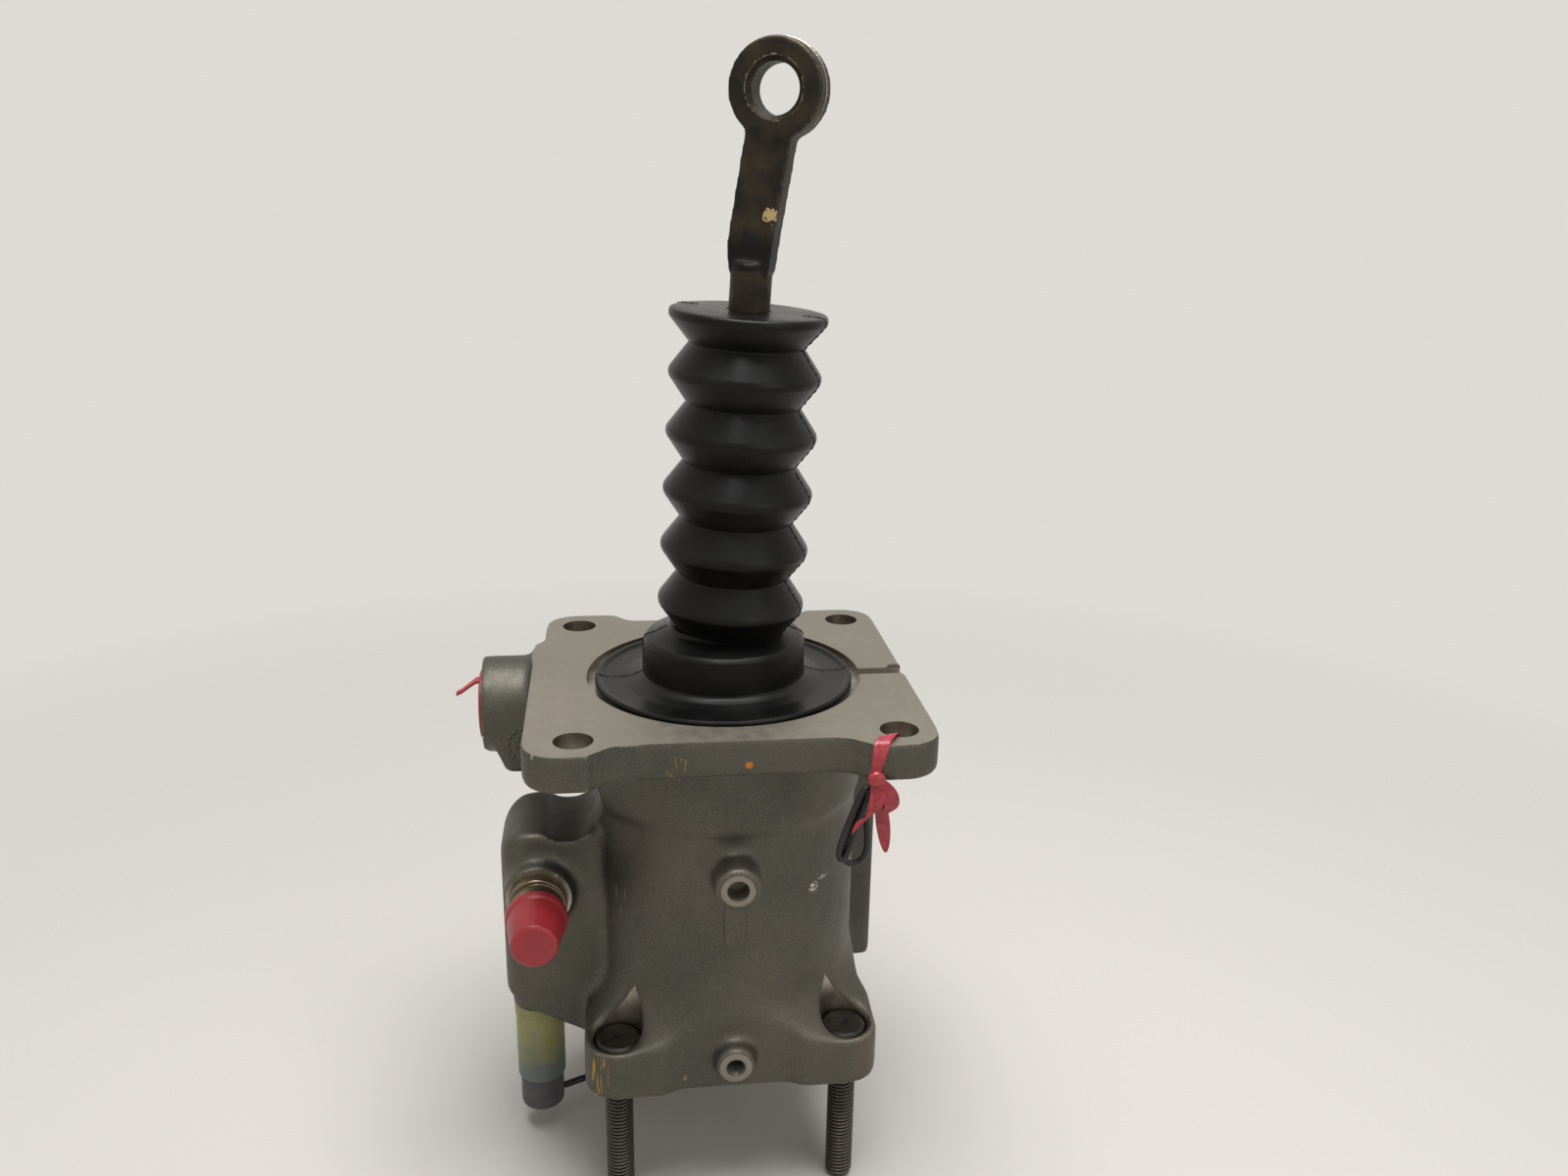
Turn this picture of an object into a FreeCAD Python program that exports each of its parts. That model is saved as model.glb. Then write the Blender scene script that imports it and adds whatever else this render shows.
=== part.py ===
import FreeCAD, Part
import math
import os
import sys

import Sketcher

# Hydraulic brake booster, in millimetres. The origin is the centre of the base mating face,
# +Z runs up the bore towards the push rod and -Y faces the side that carries the ports.

SIZES = {
    # Cast housing
    "body_height": 140.0,
    "body_radius": 49.0,
    "top_plate": 13.0,
    "top_hole_x": 53.0,
    "top_hole_y": 56.0,
    "top_hole_radius": 6.5,
    "top_lobe": 13.0,
    "top_lobe_reach": 38.0,
    "top_notch": 8.0,
    "side_pad": 3.5,
    "side_pad_back": 36.0,
    "base_plate": 18.0,
    "bolt_pitch": 82.0,
    "base_lobe": 12.0,
    "base_lobe_reach": 25.0,
    "base_notch": 3.0,
    "bell_radius": 18.0,
    "pilot_radius": 27.0,
    "pilot_depth": 4.0,
    "floor_level": 14.0,
    "chamber_radius": 40.0,
    "guide_radius": 43.0,
    "guide_depth": 36.0,
    "counterbore_radius": 49.5,
    "counterbore_depth": 6.0,
    "drain_width": 5.8,
    "drain_depth": 2.5,
    "drain_y": -2.7,
    # Front port and its cast pad, base port
    "front_port_z": 85.0,
    "front_port_face": 60.0,
    "front_port_boss": 8.2,
    "front_port_hole": 4.0,
    "track_foot": 56.0,
    "track_width": 8.0,
    "track_height": 1.0,
    "base_port_z": 13.0,
    "base_port_face": 57.0,
    "base_port_boss": 7.0,
    "base_port_hole": 3.4,
    "port_depth": 7.5,
    # Valve lobe on the left with the pressure port, and the rear web on the right
    "lobe_outer": 82.0,
    "lobe_front": 20.0,
    "lobe_back": 17.0,
    "lobe_top": 88.0,
    "lobe_outer_foot": 20.0,
    "lobe_inner_foot": 4.0,
    "lobe_round": 11.0,
    "pressure_inset": 14.0,
    "pressure_z": 66.0,
    "pressure_boss": 12.5,
    "pressure_face": 26.0,
    "web_reach": 61.5,
    "web_front": 13.0,
    "web_thickness": 16.0,
    # Return port under the top plate
    "return_y": 24.0,
    "return_drop": 19.0,
    "return_radius": 18.0,
    "return_face": 88.0,
    "return_bore": 11.0,
    "return_foot_drop": 40.0,
    "return_foot_face": 80.0,
    # Base bolts
    "bolt_radius": 5.0,
    "bolt_hole": 5.3,
    "bolt_shoulder": 5.2,
    "bolt_head": 8.0,
    "bolt_head_height": 8.0,
    "bolt_head_top": 17.5,
    "bolt_recess": 8.8,
    "bolt_reach": 49.0,
    "bolt_chamfer": 1.5,
    # Running and seating clearances
    "running_gap": 0.06,
    "seat_gap": 0.3,
    # Guide, circlip and seals
    "guide_height": 27.0,
    "seal_depth": 3.5,
    "seal_height": 5.0,
    "seal_level": 2.0,
    "clip_height": 2.0,
    "clip_depth": 1.8,
    "clip_width": 5.0,
    # Plunger and its ball joint
    "plunger_radius": 16.0,
    "plunger_stand": 9.0,
    "nose_play": 6.0,
    "ball_radius": 10.0,
    "ball_depth": 14.0,
    "ball_gap": 0.1,
    "retainer_level": 5.0,
    "retainer_height": 3.0,
    "retainer_outer": 14.0,
    "retainer_inner": 8.8,
    "spool_radius": 5.0,
    "spool_length": 7.2,
    # Power piston and output rod
    "piston_height": 26.0,
    "valve_bore_depth": 14.0,
    "reaction_radius": 12.3,
    "reaction_depth": 7.0,
    "reaction_disc": 3.5,
    "piston_groove": 4.0,
    "piston_groove_low": 5.0,
    "piston_band_low": 14.0,
    "band_height": 6.0,
    "band_depth": 2.0,
    "output_radius": 11.0,
    "output_reach": 3.0,
    "bush_radius": 16.0,
    "bush_collar": 20.0,
    "bush_collar_height": 3.0,
    "output_seal_level": 7.0,
    "output_seal_height": 3.5,
    "output_seal_depth": 2.5,
    # Springs
    "spring_radius": 30.0,
    "spring_wire": 2.2,
    "spring_turns": 5.0,
    "valve_spring_radius": 9.5,
    "valve_spring_wire": 0.8,
    "valve_spring_turns": 2.0,
    # Push rod
    "rod_radius": 7.0,
    "rod_shoulder": 160.0,
    "rod_lean": 3.3,
    "rod_turn": -26.0,
    "shank_width": 15.5,
    "shank_thickness": 9.0,
    "eye_height": 213.5,
    "eye_offset": 5.4,
    "eye_radius": 15.5,
    "eye_thickness": 11.0,
    "eye_hole": 8.0,
    # Boot
    "boot_disc_radius": 46.5,
    "boot_disc": 3.8,
    "boot_collar": 29.0,
    "boot_collar_stand": 13.0,
    "boot_wall": 2.2,
    "boot_root": 19.5,
    "boot_crest": 26.7,
    "boot_first_crest": 42.5,
    "boot_pitch": 20.1,
    "boot_crests": 6,
    "boot_crest_flat": 2.4,
    "boot_root_flat": 1.4,
    # Pressure fitting, its washer and its cap
    "fitting_bore": 5.0,
    "fitting_thread": 8.0,
    "fitting_thread_length": 14.0,
    "fitting_collar": 10.3,
    "fitting_collar_height": 4.0,
    "fitting_neck": 9.6,
    "fitting_neck_height": 6.5,
    "fitting_nose": 9.0,
    "fitting_nose_length": 16.0,
    "washer_thickness": 1.2,
    "cap_rim": 10.9,
    "cap_rim_height": 3.5,
    "cap_end": 7.7,
    "cap_length": 18.5,
    "cap_wall": 1.4,
    # Return plug
    "plug_depth": 12.0,
    "plug_rim": 13.0,
    "plug_rim_height": 1.5,
    "plug_tab_length": 9.0,
    "plug_tab_width": 5.0,
    "plug_tab_thickness": 1.6,
    "plug_tab_rise": 7.0,
    # Switch under the valve lobe
    "switch_inset": 11.0,
    "switch_seat": 8.0,
    "switch_boss": 10.0,
    "switch_screw": 7.0,
    "switch_screw_top": 24.0,
    "switch_sleeve": 9.5,
    "switch_sleeve_wall": 1.4,
    "switch_sleeve_foot": -25.0,
    "switch_end": 8.25,
    "switch_end_foot": -39.5,
    # Switch lead
    "lead_radius": 1.35,
    "connector_length": 18.0,
    "connector_width": 8.5,
    "connector_height": 6.0,
    "connector_latch": 1.2,
    # Spare seal ring tied on with a strip of plastic tape
    "ring_wire": 1.0,
    "ring_width": 7.0,
    "ring_length": 27.0,
    "ring_hang": 1.0,
    "ring_inset": 13.0,
    "tape_inset": 1.5,
    "tape_shift": 6.5,
    "tape_width": 4.0,
    "tape_thickness": 0.4,
    "tape_leg_gap": 0.05,
    "tape_end": 10.0,
    "knot_radius": 3.2,
    "knot_height": 3.4,
    "knot_drop": 10.5,
}


class Length:
    """A number that remembers the spreadsheet formula that it came from."""

    def __init__(self, value, formula):
        self.value = value
        self.formula = formula

    def __add__(self, other):
        other = as_length(other)
        return Length(self.value + other.value, f"({self.formula} + {other.formula})")

    def __sub__(self, other):
        other = as_length(other)
        return Length(self.value - other.value, f"({self.formula} - {other.formula})")

    def __mul__(self, other):
        other = as_length(other)
        return Length(self.value * other.value, f"({self.formula} * {other.formula})")

    def __truediv__(self, other):
        other = as_length(other)
        return Length(self.value / other.value, f"({self.formula} / {other.formula})")

    def __neg__(self):
        return Length(-self.value, f"(0 - {self.formula})")

    __radd__ = __add__

    def __rsub__(self, other):
        return as_length(other) - self

    __rmul__ = __mul__


def as_length(number):
    return number if isinstance(number, Length) else Length(float(number), repr(float(number)))


doc = FreeCAD.newDocument("HydraulicBrakeBooster")
sheet = doc.addObject("Spreadsheet::Sheet", "Sizes")
for row, (word, number) in enumerate(SIZES.items(), start=1):
    sheet.set(f"A{row}", word)
    sheet.set(f"B{row}", str(number))
    sheet.setAlias(f"B{row}", word)
doc.recompute()


def size(word):
    return Length(float(sheet.get(word)), f"Sizes.{word}")


def bind(item, place, length):
    """Tie one property of an object to the spreadsheet."""
    item.setExpression(place, as_length(length).formula)


# Sketches and features


def new_body(label):
    body = doc.addObject("PartDesign::Body", label)
    body.Label = label
    return body


def new_sketch(body, role, level=0):
    """An empty sketch on one of the body's own origin planes, moved along its normal."""
    sketch = body.newObject("Sketcher::SketchObject", f"{body.Label}_sketch")
    plane = [item for item in body.Origin.OriginFeatures if item.Role == role][0]
    sketch.AttachmentSupport = [(plane, "")]
    sketch.MapMode = "FlatFace"
    bind(sketch, "AttachmentOffset.Base.z", level)
    return sketch


def hold(sketch, kind, geometry, point, length):
    """Measure one point of the geometry from the sketch's origin."""
    index = sketch.addConstraint(Sketcher.Constraint(kind, -1, 1, geometry, point, length.value))
    sketch.setExpression(f"Constraints[{index}]", length.formula)


def add_loop(sketch, corners, bends=None):
    """A closed loop of lines. bends gives the radius and centre of the edges that are arcs."""
    corners = [(as_length(across), as_length(up)) for across, up in corners]
    bends = bends or {}
    first = sketch.GeometryCount
    ends = []
    for number, (across, up) in enumerate(corners):
        after = corners[(number + 1) % len(corners)]
        start = FreeCAD.Vector(across.value, up.value, 0)
        stop = FreeCAD.Vector(after[0].value, after[1].value, 0)
        if number in bends:
            radius, centre_across, centre_up = (as_length(item) for item in bends[number])
            centre = FreeCAD.Vector(centre_across.value, centre_up.value, 0)
            turn = (start - centre).cross(stop - centre).z
            begin, end = (start, stop) if turn > 0 else (stop, start)
            angles = [math.atan2((p - centre).y, (p - centre).x) for p in (begin, end)]
            circle = Part.Circle(centre, FreeCAD.Vector(0, 0, 1), radius.value)
            sketch.addGeometry(Part.ArcOfCircle(circle, *angles))
            ends.append((1, 2) if turn > 0 else (2, 1))
        else:
            sketch.addGeometry(Part.LineSegment(start, stop))
            ends.append((1, 2))
    for number, (across, up) in enumerate(corners):
        after = (number + 1) % len(corners)
        joined = (first + number, ends[number][1], first + after, ends[after][0])
        sketch.addConstraint(Sketcher.Constraint("Coincident", *joined))
        hold(sketch, "DistanceX", first + number, ends[number][0], across)
        hold(sketch, "DistanceY", first + number, ends[number][0], up)
        if number in bends:
            radius = as_length(bends[number][0])
            index = sketch.addConstraint(Sketcher.Constraint("Radius", first + number, radius.value))
            sketch.setExpression(f"Constraints[{index}]", radius.formula)
    return sketch


def add_circle(sketch, across, up, radius):
    across, up, radius = as_length(across), as_length(up), as_length(radius)
    centre = FreeCAD.Vector(across.value, up.value, 0)
    number = sketch.addGeometry(Part.Circle(centre, FreeCAD.Vector(0, 0, 1), radius.value))
    hold(sketch, "DistanceX", number, 3, across)
    hold(sketch, "DistanceY", number, 3, up)
    index = sketch.addConstraint(Sketcher.Constraint("Radius", number, radius.value))
    sketch.setExpression(f"Constraints[{index}]", radius.formula)
    return sketch


def feature(kind, sketch, length=None, backwards=False, both=False):
    """A pad, pocket, revolution or groove made from the sketch. A cut has to remove something."""
    body = sketch.getParentGeoFeatureGroup()
    doc.recompute()
    before = 0.0 if body.Shape.isNull() else body.Shape.Volume
    item = body.newObject(f"PartDesign::{kind}", f"{body.Label}_{kind}")
    item.Profile = sketch
    item.Refine = True
    item.Reversed = backwards
    if length is None:
        item.ReferenceAxis = (sketch, ["V_Axis"])
        item.Angle = 360
    else:
        bind(item, "Length", length)
        item.Midplane = both
    doc.recompute()
    if kind in ("Pocket", "Groove") and body.Shape.Volume > before - 0.01:
        sys.exit(f"{item.Name} in {body.Label} cuts nothing")
    return item


def soften(body, radius, chosen, kind="Fillet"):
    """Fillet or chamfer the edges of the body that chosen() picks."""
    doc.recompute()
    tip = body.Tip
    names = [f"Edge{n}" for n, edge in enumerate(tip.Shape.Edges, start=1) if chosen(edge)]
    if not names:
        sys.exit(f"{body.Label} has no edge to soften")
    item = body.newObject(f"PartDesign::{kind}", f"{body.Label}_{kind}")
    item.Base = (tip, names)
    bind(item, "Radius" if kind == "Fillet" else "Size", radius)
    doc.recompute()
    return item


def is_upright(edge):
    ends = [vertex.Point for vertex in edge.Vertexes]
    if len(ends) != 2 or edge.Curve.TypeId != "Part::GeomLine":
        return False
    along = ends[1] - ends[0]
    return abs(along.x) < 0.01 and abs(along.y) < 0.01


def turned_piece(label, corners, bends=None):
    """A body of revolution about the bore axis from a half section of radius and height."""
    body = new_body(label)
    feature("Revolution", add_loop(new_sketch(body, "XZ_Plane"), corners, bends))
    return body


def round_bar(label, radius, length, base, axis=(0, 0, 1)):
    """A Part cylinder that starts at base and runs along axis."""
    item = doc.addObject("Part::Cylinder", label)
    bind(item, "Radius", radius)
    bind(item, "Height", length)
    place(item, base, FreeCAD.Rotation(FreeCAD.Vector(0, 0, 1), FreeCAD.Vector(*axis)))
    return item


def place(item, base, rotation=None):
    item.Placement = FreeCAD.Placement(FreeCAD.Vector(), rotation or FreeCAD.Rotation())
    for letter, length in zip("xyz", base):
        bind(item, f"Placement.Base.{letter}", length)


def join(label, kind, pieces):
    """A Part fuse, cut or compound of the pieces, whose first is the base."""
    item = doc.addObject(f"Part::{kind}", label)
    item.Label = label
    if kind == "Cut":
        item.Base, item.Tool = pieces
    elif kind == "Compound":
        item.Links = pieces
    else:
        item.Shapes = pieces
    doc.recompute()
    return item


def fixed_piece(label, shape):
    item = doc.addObject("Part::Feature", label)
    item.Label = label
    item.Shape = shape
    return item


def corners_of(across, up):
    return [(side * across, end * up) for side in (-1, 1) for end in (-1, 1)]


# Levels and radii that several pieces share

body_height = size("body_height")
top_underside = body_height - size("top_plate")
plate_edge = size("top_hole_y") + size("top_lobe")
counterbore_floor = body_height - size("counterbore_depth")
guide_seat = body_height - size("guide_depth")
guide_top = guide_seat + size("guide_height")
half_pitch = size("bolt_pitch") / 2
running_gap = size("running_gap")
seat_gap = size("seat_gap")
plunger_radius = size("plunger_radius")
piston_radius = size("chamber_radius") - running_gap
piston_top = guide_seat - seat_gap
piston_foot = piston_top - size("piston_height")
valve_floor = piston_top - size("valve_bore_depth")
plunger_foot = valve_floor + size("nose_play")
reaction_top = piston_foot + size("reaction_depth")
output_top = reaction_top - size("reaction_disc")
ball_level = body_height - size("ball_depth")
pressure_x = size("lobe_outer") - size("pressure_inset")
switch_x = size("lobe_outer") - size("switch_inset")
return_level = body_height - size("return_drop")


# Housing: one aluminium casting


def top_outline():
    """Mounting plate: four lobes, shallow notches front and back, and a pad along the left."""
    right = size("top_hole_x") + size("top_lobe")
    left = -right
    pad = left - size("side_pad")
    edge = plate_edge
    notch = edge - size("top_notch")
    reach = size("top_lobe_reach")
    neck = reach - size("top_notch") / 2
    step = size("side_pad_back")
    return [
        (pad, -edge), (-reach, -edge), (-neck, -notch), (neck, -notch), (reach, -edge),
        (right, -edge), (right, edge), (reach, edge), (neck, notch), (-neck, notch),
        (-reach, edge), (left, edge), (left, step + size("side_pad")), (pad, step),
    ]


def base_outline():
    """Base plate: four lobes round the bolts with a shallow notch on each side."""
    edge = half_pitch + size("base_lobe")
    notch = edge - size("base_notch")
    reach = size("base_lobe_reach")
    neck = reach - size("base_notch") * 2
    side = [(-edge, -edge), (-reach, -edge), (-neck, -notch), (neck, -notch), (reach, -edge)]
    outline = []
    for quarter in range(4):
        for across, up in side:
            outline.append([(across, up), (-up, across), (-across, -up), (up, -across)][quarter])
    return outline


def near_corner(edge, across, up, reach):
    point = edge.Vertexes[0].Point
    return abs(abs(point.x) - across) < reach and abs(abs(point.y) - up) < reach


def make_housing():
    body = new_body("housing")
    body_radius = size("body_radius")
    base_plate = size("base_plate")
    bell = size("bell_radius")
    bell_top = base_plate + bell

    # Base plate that sweeps up into the barrel with a bell shaped fillet
    feature("Pad", add_loop(new_sketch(body, "XY_Plane"), base_outline()), bell_top)
    soften(body, size("base_lobe") - 0.5, lambda e: is_upright(e) and near_corner(
        e, (half_pitch + size("base_lobe")).value, (half_pitch + size("base_lobe")).value, 1))
    soften(body, size("base_lobe") / 2, lambda e: is_upright(e) and not near_corner(
        e, half_pitch.value, half_pitch.value, size("base_lobe").value + 1))
    beyond = body_radius * 2
    bell_cut = [
        (body_radius, bell_top + 1), (body_radius, bell_top), (body_radius + bell, base_plate),
        (beyond, base_plate), (beyond, bell_top + 1),
    ]
    bell_arc = {1: (bell, body_radius + bell, bell_top)}
    feature("Groove", add_loop(new_sketch(body, "XZ_Plane"), bell_cut, bell_arc))

    # Barrel and mounting plate
    feature("Pad", add_circle(new_sketch(body, "XY_Plane"), 0, 0, body_radius), top_underside)
    top = add_loop(new_sketch(body, "XY_Plane", top_underside), top_outline())
    feature("Pad", top, size("top_plate"))
    edge_x = (size("top_hole_x") + size("top_lobe")).value
    edge_y = plate_edge.value
    above = top_underside.value - 1

    def on_top(edge):
        return is_upright(edge) and min(v.Point.z for v in edge.Vertexes) > above

    soften(body, size("top_lobe") - 1, lambda e: on_top(e) and near_corner(e, edge_x, edge_y, 4))
    soften(body, size("top_notch") - 1, lambda e: on_top(e) and near_corner(
        e, size("top_lobe_reach").value, edge_y, 10))

    # Rear web on the right, from the base plate to the mounting plate
    web_front = size("web_front")
    web_back = web_front + size("web_thickness")
    web = [
        (0, web_front), (size("web_reach"), web_front), (size("web_reach"), web_back), (0, web_back),
    ]
    feature("Pad", add_loop(new_sketch(body, "XY_Plane", base_plate / 2), web),
            top_underside - base_plate / 2)

    # Valve lobe on the left
    lobe_outer = -size("lobe_outer")
    inner = -body_radius / 2
    lobe = [
        (lobe_outer, size("lobe_outer_foot")), (-body_radius - 3, size("lobe_inner_foot")),
        (inner, size("lobe_inner_foot")), (inner, size("lobe_top")), (lobe_outer, size("lobe_top")),
    ]
    depth = size("lobe_front") + size("lobe_back")
    feature("Pad", add_loop(new_sketch(body, "XZ_Plane", -size("lobe_back")), lobe), depth)
    outer = lobe_outer.value

    def on_lobe(edge):
        return all(vertex.Point.x < outer + 0.5 for vertex in edge.Vertexes)

    soften(body, size("lobe_round"), lambda e: on_lobe(e) and (is_upright(e) or min(
        v.Point.z for v in e.Vertexes) > size("lobe_top").value - 1))

    # Return port boss below the mounting plate, with its tapered foot
    boss = new_sketch(body, "YZ_Plane", -size("return_face"))
    feature("Pad", add_circle(boss, size("return_y"), return_level, size("return_radius")),
            size("return_face") - body_radius / 2)
    return_foot = body_height - size("return_foot_drop")
    foot = [
        (-size("return_face"), return_level), (-size("return_foot_face"), return_foot),
        (inner, return_foot), (inner, return_level),
    ]
    foot_front = size("return_y") - size("return_radius")
    feature("Pad", add_loop(new_sketch(body, "XZ_Plane", -foot_front - size("return_radius") * 2),
                            foot), size("return_radius") * 2)

    # Pressure port boss, switch seat, and the two bosses on the front
    port = add_circle(new_sketch(body, "XZ_Plane"), -pressure_x, size("pressure_z"),
                      size("pressure_boss"))
    feature("Pad", port, size("pressure_face"))
    seat = new_sketch(body, "XY_Plane", size("switch_seat"))
    feature("Pad", add_circle(seat, -switch_x, 0, size("switch_boss")),
            size("lobe_outer_foot"))
    front = new_sketch(body, "XZ_Plane", body_radius / 2)
    feature("Pad", add_circle(front, 0, size("front_port_z"), size("front_port_boss")),
            size("front_port_face") - body_radius / 2)
    base_front = new_sketch(body, "XZ_Plane", body_radius / 2)
    feature("Pad", add_circle(base_front, 0, size("base_port_z"), size("base_port_boss")),
            size("base_port_face") - body_radius / 2)
    half_track = size("track_width") / 2
    track_face = body_radius + size("track_height")
    track = [
        (-half_track, size("track_foot")), (half_track, size("track_foot")),
        (half_track, size("front_port_z")), (-half_track, size("front_port_z")),
    ]
    track_sketch = new_sketch(body, "XZ_Plane", body_radius / 2)
    feature("Pad", add_loop(track_sketch, track), track_face - body_radius / 2)

    # Bores along the axis: pilot, bush seat, chamber, guide seat with its clip groove, counterbore
    clip_floor = guide_top
    clip_top = clip_floor + size("clip_height")
    clip_radius = size("guide_radius") + size("clip_depth")
    bore = [
        (0, -1), (size("pilot_radius"), -1), (size("pilot_radius"), size("pilot_depth")),
        (size("bush_radius"), size("pilot_depth")), (size("bush_radius"), size("floor_level")),
        (size("chamber_radius"), size("floor_level")), (size("chamber_radius"), guide_seat),
        (size("guide_radius"), guide_seat), (size("guide_radius"), clip_floor),
        (clip_radius, clip_floor), (clip_radius, clip_top), (size("guide_radius"), clip_top),
        (size("guide_radius"), counterbore_floor), (size("counterbore_radius"), counterbore_floor),
        (size("counterbore_radius"), body_height + 1), (0, body_height + 1),
    ]
    feature("Groove", add_loop(new_sketch(body, "XZ_Plane"), bore))

    # Holes in the mounting plate and the drain notch across its right edge
    holes = new_sketch(body, "XY_Plane", top_underside - 1)
    for across, up in corners_of(size("top_hole_x"), size("top_hole_y")):
        add_circle(holes, across, up, size("top_hole_radius"))
    feature("Pocket", holes, size("top_plate") + 2, backwards=True)
    drain_near = size("drain_y") - size("drain_width") / 2
    drain_far = size("drain_y") + size("drain_width") / 2
    drain = [(body_radius - 4, drain_near), (beyond, drain_near), (beyond, drain_far),
             (body_radius - 4, drain_far)]
    drain_sketch = new_sketch(body, "XY_Plane", body_height - size("drain_depth"))
    feature("Pocket", add_loop(drain_sketch, drain), size("drain_depth") + 1, backwards=True)

    # Bolt holes with recesses for the round heads
    shanks = new_sketch(body, "XY_Plane", -1)
    recesses = new_sketch(body, "XY_Plane", size("bolt_head_top") - size("bolt_head_height"))
    for across, up in corners_of(half_pitch, half_pitch):
        add_circle(shanks, across, up, size("bolt_hole"))
        add_circle(recesses, across, up, size("bolt_recess"))
    feature("Pocket", shanks, base_plate + 1, backwards=True)
    feature("Pocket", recesses, bell_top, backwards=True)

    # Ports
    pressure = add_circle(new_sketch(body, "XZ_Plane", size("pressure_face") + 1),
                          -pressure_x, size("pressure_z"), size("fitting_thread") + running_gap)
    feature("Pocket", pressure, size("fitting_thread_length") + 2)
    for height, face, radius in (
        (size("front_port_z"), size("front_port_face"), size("front_port_hole")),
        (size("base_port_z"), size("base_port_face"), size("base_port_hole")),
    ):
        port = add_circle(new_sketch(body, "XZ_Plane", face + 1), 0, height, radius)
        feature("Pocket", port, size("port_depth") + 1)
    back_port = add_circle(new_sketch(body, "YZ_Plane", -size("return_face") - 1),
                           size("return_y"), return_level, size("return_bore"))
    feature("Pocket", back_port, size("plug_depth") + 2, backwards=True)
    switch = add_circle(new_sketch(body, "XY_Plane", size("switch_seat") - 1),
                        -switch_x, 0, size("switch_screw") + running_gap)
    feature("Pocket", switch, size("switch_screw_top") - size("switch_seat") + 2, backwards=True)
    return body


# Pieces that close the chamber


def make_guide():
    """Plug that closes the chamber and guides the plunger, with a seal groove in its bore."""
    outer = size("guide_radius") - running_gap
    inner = plunger_radius + running_gap
    groove = inner + size("seal_depth")
    low = guide_seat + size("seal_level")
    high = low + size("seal_height")
    return turned_piece("piston_guide", [
        (inner, guide_seat), (outer, guide_seat), (outer, guide_top), (inner, guide_top),
        (inner, high), (groove, high), (groove, low), (inner, low),
    ])


def make_circlip():
    """Open retaining ring in the groove above the guide."""
    outer = size("guide_radius") + size("clip_depth") - seat_gap / 2
    inner = outer - size("clip_width")
    top = guide_top + size("clip_height")
    body = turned_piece("guide_circlip", [
        (inner, guide_top), (outer, guide_top), (outer, top), (inner, top),
    ])
    half_gap = size("clip_width")
    gap = [(0, -half_gap), (outer + 1, -half_gap), (outer + 1, half_gap), (0, half_gap)]
    feature("Pocket", add_loop(new_sketch(body, "XY_Plane", guide_top - 1), gap),
            size("clip_height") + 2, backwards=True)
    return body


def ring(label, inner, outer, low, high):
    return turned_piece(label, [(inner, low), (outer, low), (outer, high), (inner, high)])


def make_fixed_rings():
    low = guide_seat + size("seal_level")
    inner = plunger_radius + running_gap
    ring("rod_seal", inner, inner + size("seal_depth"), low, low + size("seal_height"))
    bore = size("output_radius")
    outer = size("bush_radius") - running_gap
    floor = size("floor_level")
    collar_top = floor + size("bush_collar_height")
    low = size("output_seal_level")
    high = low + size("output_seal_height")
    groove = bore + size("output_seal_depth")
    turned_piece("output_bush", [
        (bore, size("pilot_depth")), (outer, size("pilot_depth")), (outer, floor),
        (size("bush_collar"), floor), (size("bush_collar"), collar_top), (bore, collar_top),
        (bore, high), (groove, high), (groove, low), (bore, low),
    ])
    ring("output_seal", bore, groove, low, high)


def make_bolts():
    """Four bolts with round heads that sit in the base plate and point down."""
    bolts = []
    head_foot = size("bolt_head_top") - size("bolt_head_height")
    chamfer = size("bolt_chamfer")
    for number, (across, up) in enumerate(corners_of(half_pitch, half_pitch)):
        head = round_bar(f"bolt_head_{number}", size("bolt_head"), size("bolt_head_height"),
                         (across, up, head_foot))
        shoulder = round_bar(f"bolt_shoulder_{number}", size("bolt_shoulder"), head_foot,
                             (across, up, 0))
        shank = round_bar(f"bolt_shank_{number}", size("bolt_radius"),
                          size("bolt_reach") - chamfer, (across, up, chamfer - size("bolt_reach")))
        tip = doc.addObject("Part::Cone", f"bolt_tip_{number}")
        bind(tip, "Radius1", size("bolt_radius") - chamfer)
        bind(tip, "Radius2", size("bolt_radius"))
        bind(tip, "Height", chamfer)
        place(tip, (across, up, -size("bolt_reach")))
        bolts.append(join(f"bolt_{number}", "MultiFuse", [head, shoulder, shank, tip]))
    return join("base_bolts", "Compound", bolts)


# Moving parts inside the housing


def make_piston():
    """Power piston: a bore on top for the plunger's nose, a pocket below for the reaction disc."""
    groove = piston_radius - size("piston_groove")
    groove_low = piston_foot + size("piston_groove_low")
    groove_high = groove_low + size("seal_height")
    band = piston_radius - size("band_depth")
    band_low = piston_foot + size("piston_band_low")
    band_high = band_low + size("band_height")
    spool_bore = size("spool_radius") + running_gap
    valve_bore = plunger_radius + running_gap
    turned_piece("piston", [
        (spool_bore, reaction_top), (size("reaction_radius"), reaction_top),
        (size("reaction_radius"), piston_foot), (piston_radius, piston_foot),
        (piston_radius, groove_low), (groove, groove_low), (groove, groove_high),
        (piston_radius, groove_high), (piston_radius, band_low), (band, band_low),
        (band, band_high), (piston_radius, band_high), (piston_radius, piston_top),
        (valve_bore, piston_top), (valve_bore, valve_floor), (spool_bore, valve_floor),
    ])
    ring("piston_seal", groove, piston_radius, groove_low, groove_high)
    ring("piston_band", band, piston_radius, band_low, band_high)
    disc = size("reaction_radius") - seat_gap
    turned_piece("reaction_disc", [
        (0, output_top), (disc, output_top), (disc, reaction_top), (0, reaction_top),
    ])
    rod = size("output_radius") - running_gap
    foot = -size("output_reach")
    turned_piece("output_rod", [
        (0, foot), (rod - 1, foot), (rod, foot + 1), (rod, piston_foot), (disc, piston_foot),
        (disc, output_top), (0, output_top),
    ])


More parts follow.
